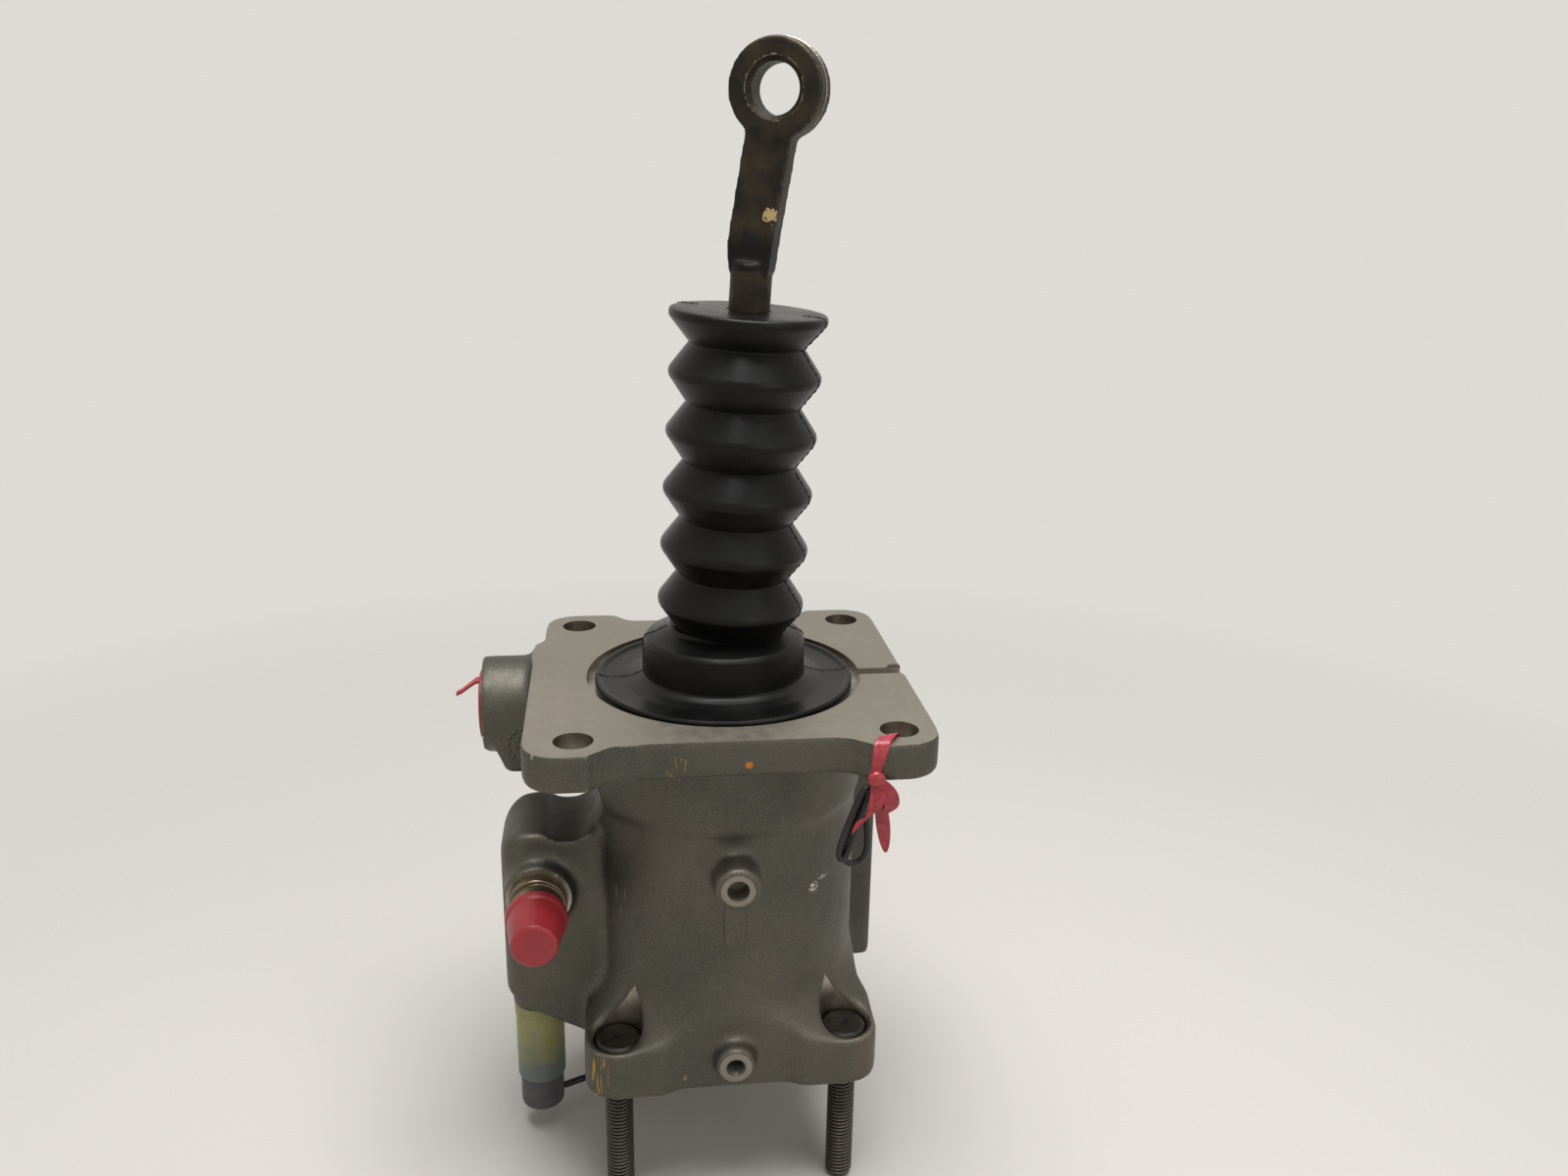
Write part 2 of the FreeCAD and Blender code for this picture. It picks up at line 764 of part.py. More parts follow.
def make_plunger():
    """Input plunger: a tube with a deep ball socket at the top and the valve's seat below."""
    outer = plunger_radius
    ball = size("ball_radius") + size("ball_gap")
    ledge = size("retainer_outer") + running_gap
    clip_foot = ball_level + size("retainer_level")
    clip_top = clip_foot + size("retainer_height")
    top = body_height + size("plunger_stand")
    turned_piece("plunger", [
        (0, plunger_foot), (outer, plunger_foot), (outer, top), (ledge, top), (ledge, clip_foot), (ball, clip_foot), (ball, ball_level),
        (0, ball_level - ball),
    ], {6: (ball, 0, ball_level)})
    ring("ball_retainer", size("retainer_inner"), size("retainer_outer"), clip_foot, clip_top)
    spool = size("spool_radius")
    spool_foot = plunger_foot - size("spool_length")
    turned_piece("valve_spool", [
        (0, spool_foot), (spool, spool_foot), (spool, plunger_foot), (0, plunger_foot),
    ])


def coil(label, radius, wire, turns, low, high):
    """A coil spring that stands between two levels, swept along straight chords of its helix."""
    steps = 12
    count = int(turns.value * steps)
    start = low.value + wire.value
    rise = (high.value - low.value - 2 * wire.value) / count
    path = []
    for step in range(count + 1):
        angle = 2 * math.pi * step / steps
        path.append(FreeCAD.Vector(radius.value * math.cos(angle),
                                   radius.value * math.sin(angle), start + rise * step))
    spine = Part.makePolygon(path)
    section = Part.Wire(Part.makeCircle(wire.value, path[0], path[1] - path[0]))
    sweep = Part.BRepOffsetAPI.MakePipeShell(spine)
    sweep.setTransitionMode(1)
    sweep.add(section)
    sweep.build()
    sweep.makeSolid()
    return fixed_piece(label, sweep.shape())


def make_springs():
    coil("return_spring", size("spring_radius"), size("spring_wire"), size("spring_turns"),
         size("floor_level"), piston_foot)
    coil("valve_spring", size("valve_spring_radius"), size("valve_spring_wire"),
         size("valve_spring_turns"), valve_floor, plunger_foot)


# Push rod


def make_push_rod():
    """Forged rod, drawn upright from its ball centre, then leaned over about that centre."""
    body = new_body("push_rod")
    ball = size("ball_radius")
    rod = size("rod_radius")
    shoulder = size("rod_shoulder")
    neck = Length(math.sqrt(ball.value ** 2 - rod.value ** 2), f"sqrt({ball.formula} ^ 2 - {rod.formula} ^ 2)")
    sketch = add_loop(new_sketch(body, "XZ_Plane"), [
        (0, -ball), (ball, 0), (rod, neck), (rod, shoulder), (0, shoulder),
    ], {0: (ball, 0, 0), 1: (ball, 0, 0)})
    feature("Revolution", sketch)
    half = size("shank_width") / 2
    offset = size("eye_offset")
    shank = [
        (-rod, shoulder - 3), (rod, shoulder - 3), (half, shoulder + 6),
        (offset + half, size("eye_height")), (offset - half, size("eye_height")),
        (-half, shoulder + 6),
    ]
    sketch = add_loop(new_sketch(body, "XZ_Plane"), shank)
    feature("Pad", sketch, size("shank_thickness"), both=True)
    sketch = add_circle(new_sketch(body, "XZ_Plane"), offset, size("eye_height"), size("eye_radius"))
    feature("Pad", sketch, size("eye_thickness"), both=True)
    sketch = new_sketch(body, "XZ_Plane", -size("eye_thickness"))
    add_circle(sketch, offset, size("eye_height"), size("eye_hole"))
    feature("Pocket", sketch, size("eye_thickness") * 2, backwards=True)
    place(body, (0, 0, ball_level), FreeCAD.Rotation(size("rod_turn").value, size("rod_lean").value, 0))


# Boot


def boot_crests():
    """Radius and height of the folds, measured up the leaning axis from the ball centre."""
    flat = size("boot_crest_flat") / 2
    dip = size("boot_root_flat") / 2
    pitch = size("boot_pitch")
    crest = size("boot_crest")
    root = size("boot_root")
    folds = []
    for number in range(int(size("boot_crests").value)):
        level = size("boot_first_crest") + pitch * number
        folds += [(crest, level - flat), (crest, level + flat)]
        if number < int(size("boot_crests").value) - 1:
            folds += [(root, level + pitch / 2 - dip), (root, level + pitch / 2 + dip)]
    return folds


def make_boot():
    """Rubber bellows: an upright disc and collar, then folds that lean with the push rod."""
    wall = size("boot_wall")
    root = size("boot_root")
    disc_top = counterbore_floor + size("boot_disc")
    collar = size("boot_collar")
    collar_top = body_height + size("boot_collar_stand")
    base = turned_piece("boot_base", [
        (collar - wall * 2, counterbore_floor), (size("boot_disc_radius"), counterbore_floor),
        (size("boot_disc_radius"), disc_top), (collar, disc_top), (collar, collar_top),
        (root - wall, collar_top), (root - wall, collar_top - wall * 2),
        (collar - wall * 2, collar_top - wall * 2),
    ])
    outer = boot_crests()
    foot = collar_top - ball_level - wall
    top = outer[-1][1]
    hole = size("rod_radius") + seat_gap
    inner = [(radius - wall, level) for radius, level in reversed(outer[:-1])]
    folds = turned_piece("boot_folds", [(root - wall, foot), (root, foot)] + outer + [
        (hole, top), (hole, top - wall),
    ] + inner)
    place(folds, (0, 0, ball_level), FreeCAD.Rotation(size("rod_turn").value, size("rod_lean").value, 0))
    return join("boot", "MultiFuse", [base, folds])


# Pieces on the outside


def sideways_piece(label, corners, base, rotation):
    """A turned piece whose axis is laid down, from a half section of radius and distance out."""
    body = turned_piece(label, corners)
    place(body, base, rotation)
    return body


def make_pressure_port():
    """Steel fitting with a sealing washer, and the tapered plastic cap that is pushed over it."""
    outwards = FreeCAD.Rotation(FreeCAD.Vector(1, 0, 0), 90)
    base = (-pressure_x, -size("pressure_face"), size("pressure_z"))
    washer = size("washer_thickness")
    bore = size("fitting_bore")
    collar_top = washer + size("fitting_collar_height")
    neck_top = collar_top + size("fitting_neck_height")
    nose_top = neck_top + size("fitting_nose_length")
    sideways_piece("fitting_washer", [
        (size("fitting_thread") + seat_gap, 0), (size("fitting_collar"), 0),
        (size("fitting_collar"), washer), (size("fitting_thread") + seat_gap, washer),
    ], base, outwards)
    nose = size("fitting_nose")
    taper = size("cap_end") - size("cap_wall") - seat_gap
    sideways_piece("pressure_fitting", [
        (bore, -size("fitting_thread_length")),
        (size("fitting_thread"), -size("fitting_thread_length")), (size("fitting_thread"), washer),
        (size("fitting_collar"), washer), (size("fitting_collar"), collar_top),
        (size("fitting_neck"), collar_top), (size("fitting_neck"), neck_top), (nose, neck_top),
        (nose, neck_top + size("cap_rim_height")), (taper, nose_top), (bore, nose_top),
    ], base, outwards)
    cap_foot = neck_top + seat_gap * 3
    rim_top = cap_foot + size("cap_rim_height")
    cap_top = cap_foot + size("cap_length")
    wall = size("cap_wall")
    sideways_piece("pressure_cap", [
        (nose + seat_gap, cap_foot), (size("cap_rim"), cap_foot), (size("cap_rim"), rim_top),
        (nose + wall, rim_top), (size("cap_end"), cap_top), (0, cap_top), (0, cap_top - wall),
        (size("cap_end") - wall, cap_top - wall), (nose + seat_gap, rim_top),
    ], base, outwards)


def make_return_plug():
    """Plastic plug pushed into the return port, with a pull tab."""
    body = new_body("return_plug")
    face = -size("return_face")
    centre = (size("return_y"), return_level)
    plug = add_circle(new_sketch(body, "YZ_Plane", face), *centre, size("return_bore") - running_gap)
    feature("Pad", plug, size("plug_depth"))
    rim_foot = face - size("plug_rim_height")
    rim = add_circle(new_sketch(body, "YZ_Plane", rim_foot), *centre, size("plug_rim"))
    feature("Pad", rim, size("plug_rim_height"))
    half = size("plug_tab_width") / 2
    thick = size("plug_tab_thickness") / 2
    near = size("return_y")
    level = return_level + size("plug_tab_rise")
    tab = [(near - half, level - thick), (near + half, level - thick),
           (near + half, level + thick), (near - half, level + thick)]
    feature("Pad", add_loop(new_sketch(body, "YZ_Plane", rim_foot - size("plug_tab_length")), tab),
            size("plug_tab_length"))


def make_switch():
    """Screwed-in switch body, its translucent sleeve and its end cap, on an upright axis."""
    screw = size("switch_screw")
    seat = size("switch_seat")
    sleeve = size("switch_sleeve")
    inside = sleeve - size("switch_sleeve_wall")
    foot = size("switch_sleeve_foot")
    end_foot = size("switch_end_foot")
    end = size("switch_end")
    stem = inside - seat_gap
    pieces = {
        "switch_body": [
            (0, foot), (stem, foot), (stem, seat), (screw, seat),
            (screw, size("switch_screw_top")), (0, size("switch_screw_top")),
        ],
        "switch_sleeve": [(inside, foot), (sleeve, foot), (sleeve, seat), (inside, seat)],
        "switch_end": [(0, end_foot), (end - 1, end_foot), (end, end_foot + 1), (end, foot), (0, foot)],
    }
    for label, corners in pieces.items():
        place(turned_piece(label, corners), (-switch_x, 0, 0))


# Switch lead: points of its route, chosen by hand

LEAD_ROUTE = [
    (-62.8, 0.6, -34.0),
    (-56.5, 2.6, -33.2),
    (-50.5, 6.4, -34.6),
    (-44.0, 16.5, -38.5),
    (-35.0, 24.0, -43.5),
    (-23.0, 30.5, -46.4),
    (-8.0, 33.0, -47.5),
    (8.0, 38.5, -47.5),
    (19.0, 50.0, -47.5),
    (17.0, 65.5, -47.5),
    (5.0, 74.5, -46.2),
    (-9.0, 73.0, -46.0),
]


def rounded_path(points):
    """Straight runs joined by tangent arcs that are as large as their two runs allow."""
    points = [FreeCAD.Vector(*point) for point in points]
    edges = []
    start = points[0]
    for before, corner, after in zip(points, points[1:], points[2:]):
        back = before - corner
        ahead = after - corner
        share = 0.45 * min(back.Length, ahead.Length)
        half_turn = (math.pi - back.getAngle(ahead)) / 2
        radius = share / math.tan(half_turn)
        enter = corner + back.normalize() * share
        leave = corner + ahead.normalize() * share
        inward = (back + ahead).normalize()
        middle = corner + inward * (radius / math.cos(half_turn) - radius)
        edges.append(Part.LineSegment(start, enter).toShape())
        edges.append(Part.Arc(enter, middle, leave).toShape())
        start = leave
        print(f"lead bend radius {radius:.1f} mm, {radius / 2 / size('lead_radius').value:.1f} diameters")
    edges.append(Part.LineSegment(start, points[-1]).toShape())
    return Part.Wire(edges)


def make_lead():
    radius = size("lead_radius").value
    path = rounded_path(LEAD_ROUTE)
    first = path.Edges[0]
    section = Part.Wire(Part.makeCircle(radius, first.valueAt(first.FirstParameter),
                                        first.tangentAt(first.FirstParameter)))
    tube = path.makePipeShell([section], True, True)
    expected = math.pi * radius ** 2 * path.Length
    if abs(tube.Volume - expected) > 0.01 * expected:
        sys.exit("the lead's volume does not match its section times its length")
    print(f"lead length {path.Length:.1f} mm")
    fixed_piece("switch_lead", tube)


def make_connector():
    """Two-way plug on the end of the lead, with a latch on top. It lies on its flat side."""
    body = new_body("lead_connector")
    length = size("connector_length")
    half = size("connector_width") / 2
    height = size("connector_height")
    plug = [(0, -half), (length, -half), (length, half), (0, half)]
    feature("Pad", add_loop(new_sketch(body, "XY_Plane"), plug), height)
    soften(body, size("connector_latch"), lambda e: e.BoundBox.XLength > length.value / 2)
    latch = [(length / 4, -half / 3), (length, -half / 3), (length, half / 3), (length / 4, half / 3)]
    feature("Pad", add_loop(new_sketch(body, "XY_Plane", height / 2), latch),
            height / 2 + size("connector_latch"))
    before, end = (FreeCAD.Vector(*point) for point in LEAD_ROUTE[-2:])
    along = end - before
    place(body, (end.x, end.y, -size("bolt_reach")), FreeCAD.Rotation(
        math.degrees(math.atan2(along.y, along.x)), 0, 0))


# Spare seal ring and the tape that ties it to the mounting plate


def make_spare_ring():
    """A rubber ring folded into two narrow loops that hang from the knot."""
    wire = size("ring_wire").value
    half = size("ring_width").value / 2
    drop = size("ring_length").value
    top = (top_underside - size("ring_hang")).value - wire
    across = (size("top_hole_x") - size("ring_inset")).value
    behind_tape = wire - plate_edge.value
    loops = []
    for number, lean in enumerate((-15, -4)):
        low = top - drop
        left = FreeCAD.Vector(-half, 0, top - half)
        right = FreeCAD.Vector(half, 0, top - half)
        left_foot = FreeCAD.Vector(-half, 0, low + half)
        right_foot = FreeCAD.Vector(half, 0, low + half)
        path = Part.Wire([
            Part.LineSegment(left_foot, left).toShape(),
            Part.Arc(left, FreeCAD.Vector(0, 0, top), right).toShape(),
            Part.LineSegment(right, right_foot).toShape(),
            Part.Arc(right_foot, FreeCAD.Vector(0, 0, low), left_foot).toShape(),
        ])
        section = Part.Wire(Part.makeCircle(wire, left_foot, FreeCAD.Vector(0, 0, 1)))
        loop = path.makePipeShell([section], True, True)
        loop.rotate(FreeCAD.Vector(0, 0, top), FreeCAD.Vector(0, 1, 0), lean)
        loop.translate(FreeCAD.Vector(across, behind_tape + 2.2 * wire * number, 0))
        loops.append(loop)
    fixed_piece("spare_seal_ring", Part.makeCompound(loops))


def root_of(length):
    return Length(math.sqrt(length.value), f"sqrt({length.formula})")


def make_tape():
    """Strip against the corner hole's wall, over the plate's edge and down, tied in a knot."""
    body = new_body("tie_tape")
    thick = size("tape_thickness")
    width = size("tape_width")
    hole_x = size("top_hole_x")
    hole_y = -size("top_hole_y")
    right = hole_x - size("tape_inset")
    left = right - width
    above = body_height + seat_gap
    leg_outer = size("top_hole_radius") - size("tape_leg_gap")
    leg_inner = leg_outer - thick

    def on_wall(radius, across):
        return across, hole_y - root_of(radius * radius - (hole_x - across) * (hole_x - across))

    leg = [on_wall(leg_outer, left), on_wall(leg_outer, right),
           on_wall(leg_inner, right), on_wall(leg_inner, left)]
    arcs = {0: (leg_outer, hole_x, hole_y), 2: (leg_inner, hole_x, hole_y)}
    feature("Pad", add_loop(new_sketch(body, "XY_Plane", top_underside), leg, arcs),
            above + thick - top_underside)
    outside = -plate_edge - seat_gap
    shift = size("tape_shift")
    over = [(left - shift, outside - thick), (right - shift, outside - thick),
            on_wall(leg_inner, right), on_wall(leg_inner, left)]
    feature("Pad", add_loop(new_sketch(body, "XY_Plane", above), over), thick)
    below = top_underside - size("tape_end")
    front = [(left - shift, below), (right - shift, below), (right - shift, above + thick),
             (left - shift, above + thick)]
    feature("Pad", add_loop(new_sketch(body, "XZ_Plane", -outside), front), thick)
    knot = new_sketch(body, "XZ_Plane", -outside)
    add_circle(knot, left + width / 2 - shift, above - size("knot_drop"), size("knot_radius"))
    feature("Pad", knot, size("knot_height"))


NODES = [
    "housing", "piston_guide", "guide_circlip", "rod_seal", "output_bush", "output_seal",
    "base_bolts", "boot", "pressure_fitting", "fitting_washer", "pressure_cap", "return_plug",
    "switch_body", "switch_sleeve", "switch_end", "switch_lead", "lead_connector",
    "spare_seal_ring", "tie_tape",
    "return_spring", "piston", "piston_seal", "piston_band", "output_rod", "reaction_disc",
    "plunger", "valve_spool", "ball_retainer", "valve_spring", "push_rod",
]


def write_parts():
    doc.recompute()
    for item in doc.Objects:
        if "Invalid" in item.State or "Error" in item.State:
            sys.exit(f"{item.Label} failed: {item.State}")
    os.makedirs("parts", exist_ok=True)
    triangles = 0
    for label in NODES:
        shape = doc.getObjectsByLabel(label)[0].Shape
        if shape.isNull() or not shape.isValid() or shape.Volume <= 0:
            sys.exit(f"{label} has no valid shape")
        shape.exportStep(f"parts/{label}.step")
        count = len(shape.tessellate(0.2)[1])
        triangles += count
        print(f"{label}: {len(shape.Solids)} solid, {shape.Volume:.0f} mm3, {count} triangles")
    print(f"{len(NODES)} parts, {triangles} triangles")


make_housing()
make_guide()
make_circlip()
make_fixed_rings()
make_bolts()
make_piston()
make_plunger()
make_springs()
make_push_rod()
make_boot()
make_pressure_port()
make_return_plug()
make_switch()
make_lead()
make_connector()
make_spare_ring()
make_tape()
write_parts()
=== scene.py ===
import math

import bmesh
import bpy
from mathutils import Matrix, Vector


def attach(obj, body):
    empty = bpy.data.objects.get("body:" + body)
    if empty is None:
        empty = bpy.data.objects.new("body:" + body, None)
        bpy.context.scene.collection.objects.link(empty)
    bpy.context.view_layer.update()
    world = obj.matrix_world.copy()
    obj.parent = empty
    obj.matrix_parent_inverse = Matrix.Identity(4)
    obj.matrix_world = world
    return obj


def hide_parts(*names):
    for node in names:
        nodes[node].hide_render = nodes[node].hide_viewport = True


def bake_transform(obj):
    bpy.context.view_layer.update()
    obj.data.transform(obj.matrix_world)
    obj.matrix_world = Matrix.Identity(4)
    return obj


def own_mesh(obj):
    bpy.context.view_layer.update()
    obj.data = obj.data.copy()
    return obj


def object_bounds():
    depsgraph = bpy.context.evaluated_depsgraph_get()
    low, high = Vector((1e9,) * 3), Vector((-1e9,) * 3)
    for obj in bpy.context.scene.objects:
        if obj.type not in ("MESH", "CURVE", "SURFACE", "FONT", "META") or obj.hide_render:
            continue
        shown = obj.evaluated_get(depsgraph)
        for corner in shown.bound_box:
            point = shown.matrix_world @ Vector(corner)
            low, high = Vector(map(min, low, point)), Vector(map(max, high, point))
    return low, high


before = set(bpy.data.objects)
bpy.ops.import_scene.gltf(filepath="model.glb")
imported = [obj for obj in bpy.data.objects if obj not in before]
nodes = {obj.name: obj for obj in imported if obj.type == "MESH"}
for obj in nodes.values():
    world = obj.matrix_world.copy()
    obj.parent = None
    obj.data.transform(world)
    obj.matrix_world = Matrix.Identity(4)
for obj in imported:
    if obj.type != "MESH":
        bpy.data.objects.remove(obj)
cad_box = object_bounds()

# Camera: in front of the ports and above the mounting plate, looking down at about 17 degrees.
# The photograph is 1600 x 1200, and this lens on a 36 mm wide sensor gives its view.
mm = 0.001
camera = bpy.data.objects.new("camera", bpy.data.cameras.new("camera"))
bpy.context.scene.collection.objects.link(camera)
across = Vector((0.9913, -0.1305, 0.0188))
upward = Vector((0.0213, 0.2995, 0.9539))
backward = Vector((-0.1301, -0.9451, 0.2997))
camera.matrix_world = Matrix((across, upward, backward)).transposed().to_4x4()
camera.location = Vector((-39.3, -441.8, 311.9)) * mm
camera.data.sensor_width = 36
camera.data.lens = 29.89
camera.data.clip_start = 10 * mm
bpy.context.scene.camera = camera


# Switch lead: a thin flexible cable with a smooth black PVC sheath. It leaves the low end of the
# switch cap, bends down behind the base plate and lies on the table, ending in a two-way connector.


def colour(code):
    """Linear colour of an sRGB hex value."""
    parts = [int(code[place:place + 2], 16) / 255 for place in (1, 3, 5)]
    return [p / 12.92 if p <= 0.04045 else ((p + 0.055) / 1.055) ** 2.4 for p in parts] + [1.0]


def wire(tree, item, inputs):
    """Fill a node's inputs with values or link them to other nodes' outputs."""
    for name, value in inputs.items():
        if isinstance(value, bpy.types.NodeSocket):
            tree.links.new(value, item.inputs[name])
        else:
            item.inputs[name].default_value = value


def node(tree, kind, inputs=None, **settings):
    """Add one shader node with its settings and inputs."""
    item = tree.nodes.new("ShaderNode" + kind)
    for name, value in settings.items():
        setattr(item, name, value)
    wire(tree, item, inputs or {})
    return item


def finish_of(name):
    """A new material with its node tree, its shader and the place on the piece in metres."""
    material = bpy.data.materials.new(name)
    material.use_nodes = True
    tree = material.node_tree
    where = node(tree, "TexCoord").outputs["Object"]
    return material, tree, tree.nodes["Principled BSDF"], where


MIX_A, MIX_B, MIX_RESULT = 6, 7, 2


def shade(tree, amount, dark, light):
    """A colour between two, by an amount from 0 to 1."""
    mix = node(tree, "Mix", {"Factor": amount, MIX_A: dark, MIX_B: light}, data_type="RGBA")
    return mix.outputs[MIX_RESULT]


def spread(tree, value, low, high, to_low=0.0, to_high=1.0):
    """Stretch a value's range from low..high to to_low..to_high, and hold it there."""
    stretched = node(tree, "MapRange", {
        "Value": value, "From Min": low, "From Max": high, "To Min": to_low, "To Max": to_high})
    return stretched.outputs["Result"]


def soft_plastic(name, dark, light, roughness, speck, depth):
    """Moulded plastic or rubber: two close colours in soft patches and a fine uneven skin."""
    material, tree, shader, where = finish_of(name)
    patches = node(tree, "TexNoise", {"Vector": where, "Scale": 0.12 / speck, "Detail": 4.0})
    skin = node(tree, "TexNoise", {"Vector": where, "Scale": 1 / speck, "Detail": 3.0})
    amount = spread(tree, patches.outputs["Fac"], 0.35, 0.65)
    bump = node(tree, "Bump", {
        "Height": skin.outputs["Fac"], "Strength": 0.6, "Distance": depth})
    wire(tree, shader, {
        "Base Color": shade(tree, amount, colour(dark), colour(light)),
        "Roughness": spread(tree, skin.outputs["Fac"], 0.3, 0.7, roughness - 0.06, roughness + 0.08),
        "Normal": bump.outputs["Normal"],
        "IOR": 1.5,
    })
    return material


LEAD_ROUTE = [
    (-62.8, 0.6, -34.0), (-56.5, 2.6, -33.2), (-50.5, 6.4, -34.6), (-44.0, 16.5, -38.5),
    (-35.0, 24.0, -43.5), (-23.0, 30.5, -46.4), (-8.0, 33.0, -47.5), (8.0, 38.5, -47.5),
    (19.0, 50.0, -47.5), (17.0, 65.5, -47.5), (5.0, 74.5, -46.2), (-9.0, 73.0, -46.0),
]
lead_diameter = 2.7 * mm

lead_line = bpy.data.curves.new("lead", "CURVE")
lead_line.dimensions = "3D"
lead_line.bevel_depth = lead_diameter / 2
lead_line.bevel_resolution = 5
lead_line.resolution_u = 10
lead_line.use_fill_caps = True
run = lead_line.splines.new("NURBS")
run.points.add(len(LEAD_ROUTE) - 1)
for point, place in zip(run.points, LEAD_ROUTE):
    point.co = (*(Vector(place) * mm), 1.0)
run.order_u = 3
run.use_endpoint_u = True
lead = bpy.data.objects.new("switch_lead_sheath", lead_line)
bpy.context.scene.collection.objects.link(lead)
black_sheath = soft_plastic("black_pvc_sheath", "#0b0b0c", "#17171a", 0.42, 0.5 * mm, 0.02 * mm)
lead_line.materials.append(black_sheath)
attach(lead, "housing")
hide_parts("switch_lead")

connector = nodes["lead_connector"]
grey_nylon = soft_plastic("grey_nylon", "#26282a", "#36393c", 0.5, 0.4 * mm, 0.03 * mm)
connector.data.materials.clear()
connector.data.materials.append(grey_nylon)


# Housing: one sand casting in aluminium, shot blasted and chromated, which leaves it a warm
# olive grey with a fine grain. Mating faces, bores, holes and port faces are machined afterwards.


def link(piece):
    bpy.context.scene.collection.objects.link(piece)
    return piece


def from_bmesh(name, form, materials):
    """A smooth shaded piece from a bmesh, with its edges over 35 degrees kept sharp."""
    bmesh.ops.recalc_face_normals(form, faces=form.faces)
    mesh = bpy.data.meshes.new(name)
    form.to_mesh(mesh)
    form.free()
    mesh.polygons.foreach_set("use_smooth", [True] * len(mesh.polygons))
    mesh.set_sharp_from_angle(angle=math.radians(35))
    for material in materials:
        mesh.materials.append(material)
    return link(bpy.data.objects.new(name, mesh))


def bake_modifiers(piece):
    """Replace the piece's mesh by what its modifiers make of it."""
    done = piece.evaluated_get(bpy.context.evaluated_depsgraph_get())
    mesh = bpy.data.meshes.new_from_object(done)
    piece.modifiers.clear()
    piece.data = mesh


def turn_profile(form, points, closed=False, around=96, place=Matrix.Identity(4)):
    """Spin a profile of (radius, height) points about Z into a bmesh."""
    rows = []
    for radius, height in points:
        if radius < 1e-7:
            rows.append([form.verts.new(place @ Vector((0, 0, height)))])
            continue
        turns = [2 * math.pi * step / around for step in range(around)]
        rows.append([form.verts.new(place @ Vector((
            radius * math.cos(turn), radius * math.sin(turn), height))) for turn in turns])
    pairs = list(zip(rows, rows[1:] + rows[:1])) if closed else list(zip(rows, rows[1:]))
    for low, high in pairs:
        for step in range(around):
            after = (step + 1) % around
            corners = [low[step % len(low)], low[after % len(low)],
                       high[after % len(high)], high[step % len(high)]]
            corners = list(dict.fromkeys(corners))
            if len(corners) > 2:
                form.faces.new(corners)


def stepped(form, place, steps, around=64):
    """A closed stepped cylinder: its steps are (radius, low, high), narrowing or widening."""
    points = [(0, steps[0][1])]
    for radius, low, high in steps:
        points += [(radius, low), (radius, high)]
    points.append((0, steps[-1][2]))
    turn_profile(form, [(r * mm, z * mm) for r, z in points], around=around, place=place)


def towards(axis, base):
    """The place of something turned about Z when it points along axis from base, in mm."""
    turn = Vector((0, 0, 1)).rotation_difference(Vector(axis)).to_matrix().to_4x4()
    return Matrix.Translation(Vector(base) * mm) @ turn


# Stock is the extra metal on the mating faces, which their cuts take off again
stock = 1.2
body_height = 140.0
counterbore_floor = 136.8
chamber_steps = [(27, -5, 4), (16, 4, 14), (40, 14, 104), (43, 104, counterbore_floor),
                 (49.5, counterbore_floor, 150)]
plate_holes = [(x, y) for x in (-53, 53) for y in (-56, 56)]
bolt_places = [(x, y) for x in (-41, 41) for y in (-41, 41)]
front, left, down = (0, -1, 0), (-1, 0, 0), (0, 0, -1)
# Each port: the way that it faces, the centre of its face, boss radius, bore radius and depth,
# and how much is milled off its face, which leaves a rounder edge where it is little
ports = {
    "pressure": (front, (-68, -26, 66), 12.5, 8.06, 15, 0.8),
    "front": (front, (0, -60, 85), 8.0, 3.8, 7.5, 0.3),
    "base": (front, (0, -57, 13), 7.4, 3.5, 7.5, 0.3),
    "return": (left, (-88, 24, 121), 18.0, 11.0, 12.06, 1.2),
    "switch": (down, (-71, 0, 8), 10.0, 7.06, 16, 1.2),
}

casting = bmesh.new()
casting.from_mesh(nodes["housing"].data)
bmesh.ops.remove_doubles(casting, verts=casting.verts, dist=0.01 * mm)
for corner in casting.verts:
    if corner.co.z > (body_height - 0.1) * mm:
        corner.co.z += stock * mm
    if corner.co.z < 0.1 * mm:
        corner.co.z -= stock * mm
# Bores, holes and recesses are filled first, so that the skin's softening leaves their rims alone;
# the cuts below open them at their real size
stepped(casting, Matrix.Identity(4), [(50.5, 100, body_height + stock)])
stepped(casting, Matrix.Identity(4), [(45, -stock, 110)])
for x, y in plate_holes:
    stepped(casting, towards((0, 0, 1), (x, y, 0)), [(8, 128, body_height + stock)], 32)
for x, y in bolt_places:
    stepped(casting, towards((0, 0, 1), (x, y, 0)), [(10, -stock, 14)], 32)
for axis, face, boss, bore, depth, milled in ports.values():
    stepped(casting, towards(axis, face), [(boss, -depth - 1.5, milled)], 48)
stepped(casting, towards((1, 0, 0), (40, -2.7, 138)), [(3.5, 0, 24)], 24)
housing = from_bmesh("housing_casting", casting, [])


def soft_skin(piece, voxel, passes):
    """Give a cast or forged piece one soft skin: remesh it finely in mm, then relax it."""
    remesh = piece.modifiers.new("remesh", "REMESH")
    remesh.mode = "VOXEL"
    remesh.voxel_size = voxel * mm
    soften = piece.modifiers.new("soften", "SMOOTH")
    soften.factor = 0.5
    soften.iterations = passes
    bake_modifiers(piece)


casting_grid = 1.1
soft_skin(housing, casting_grid, 10)


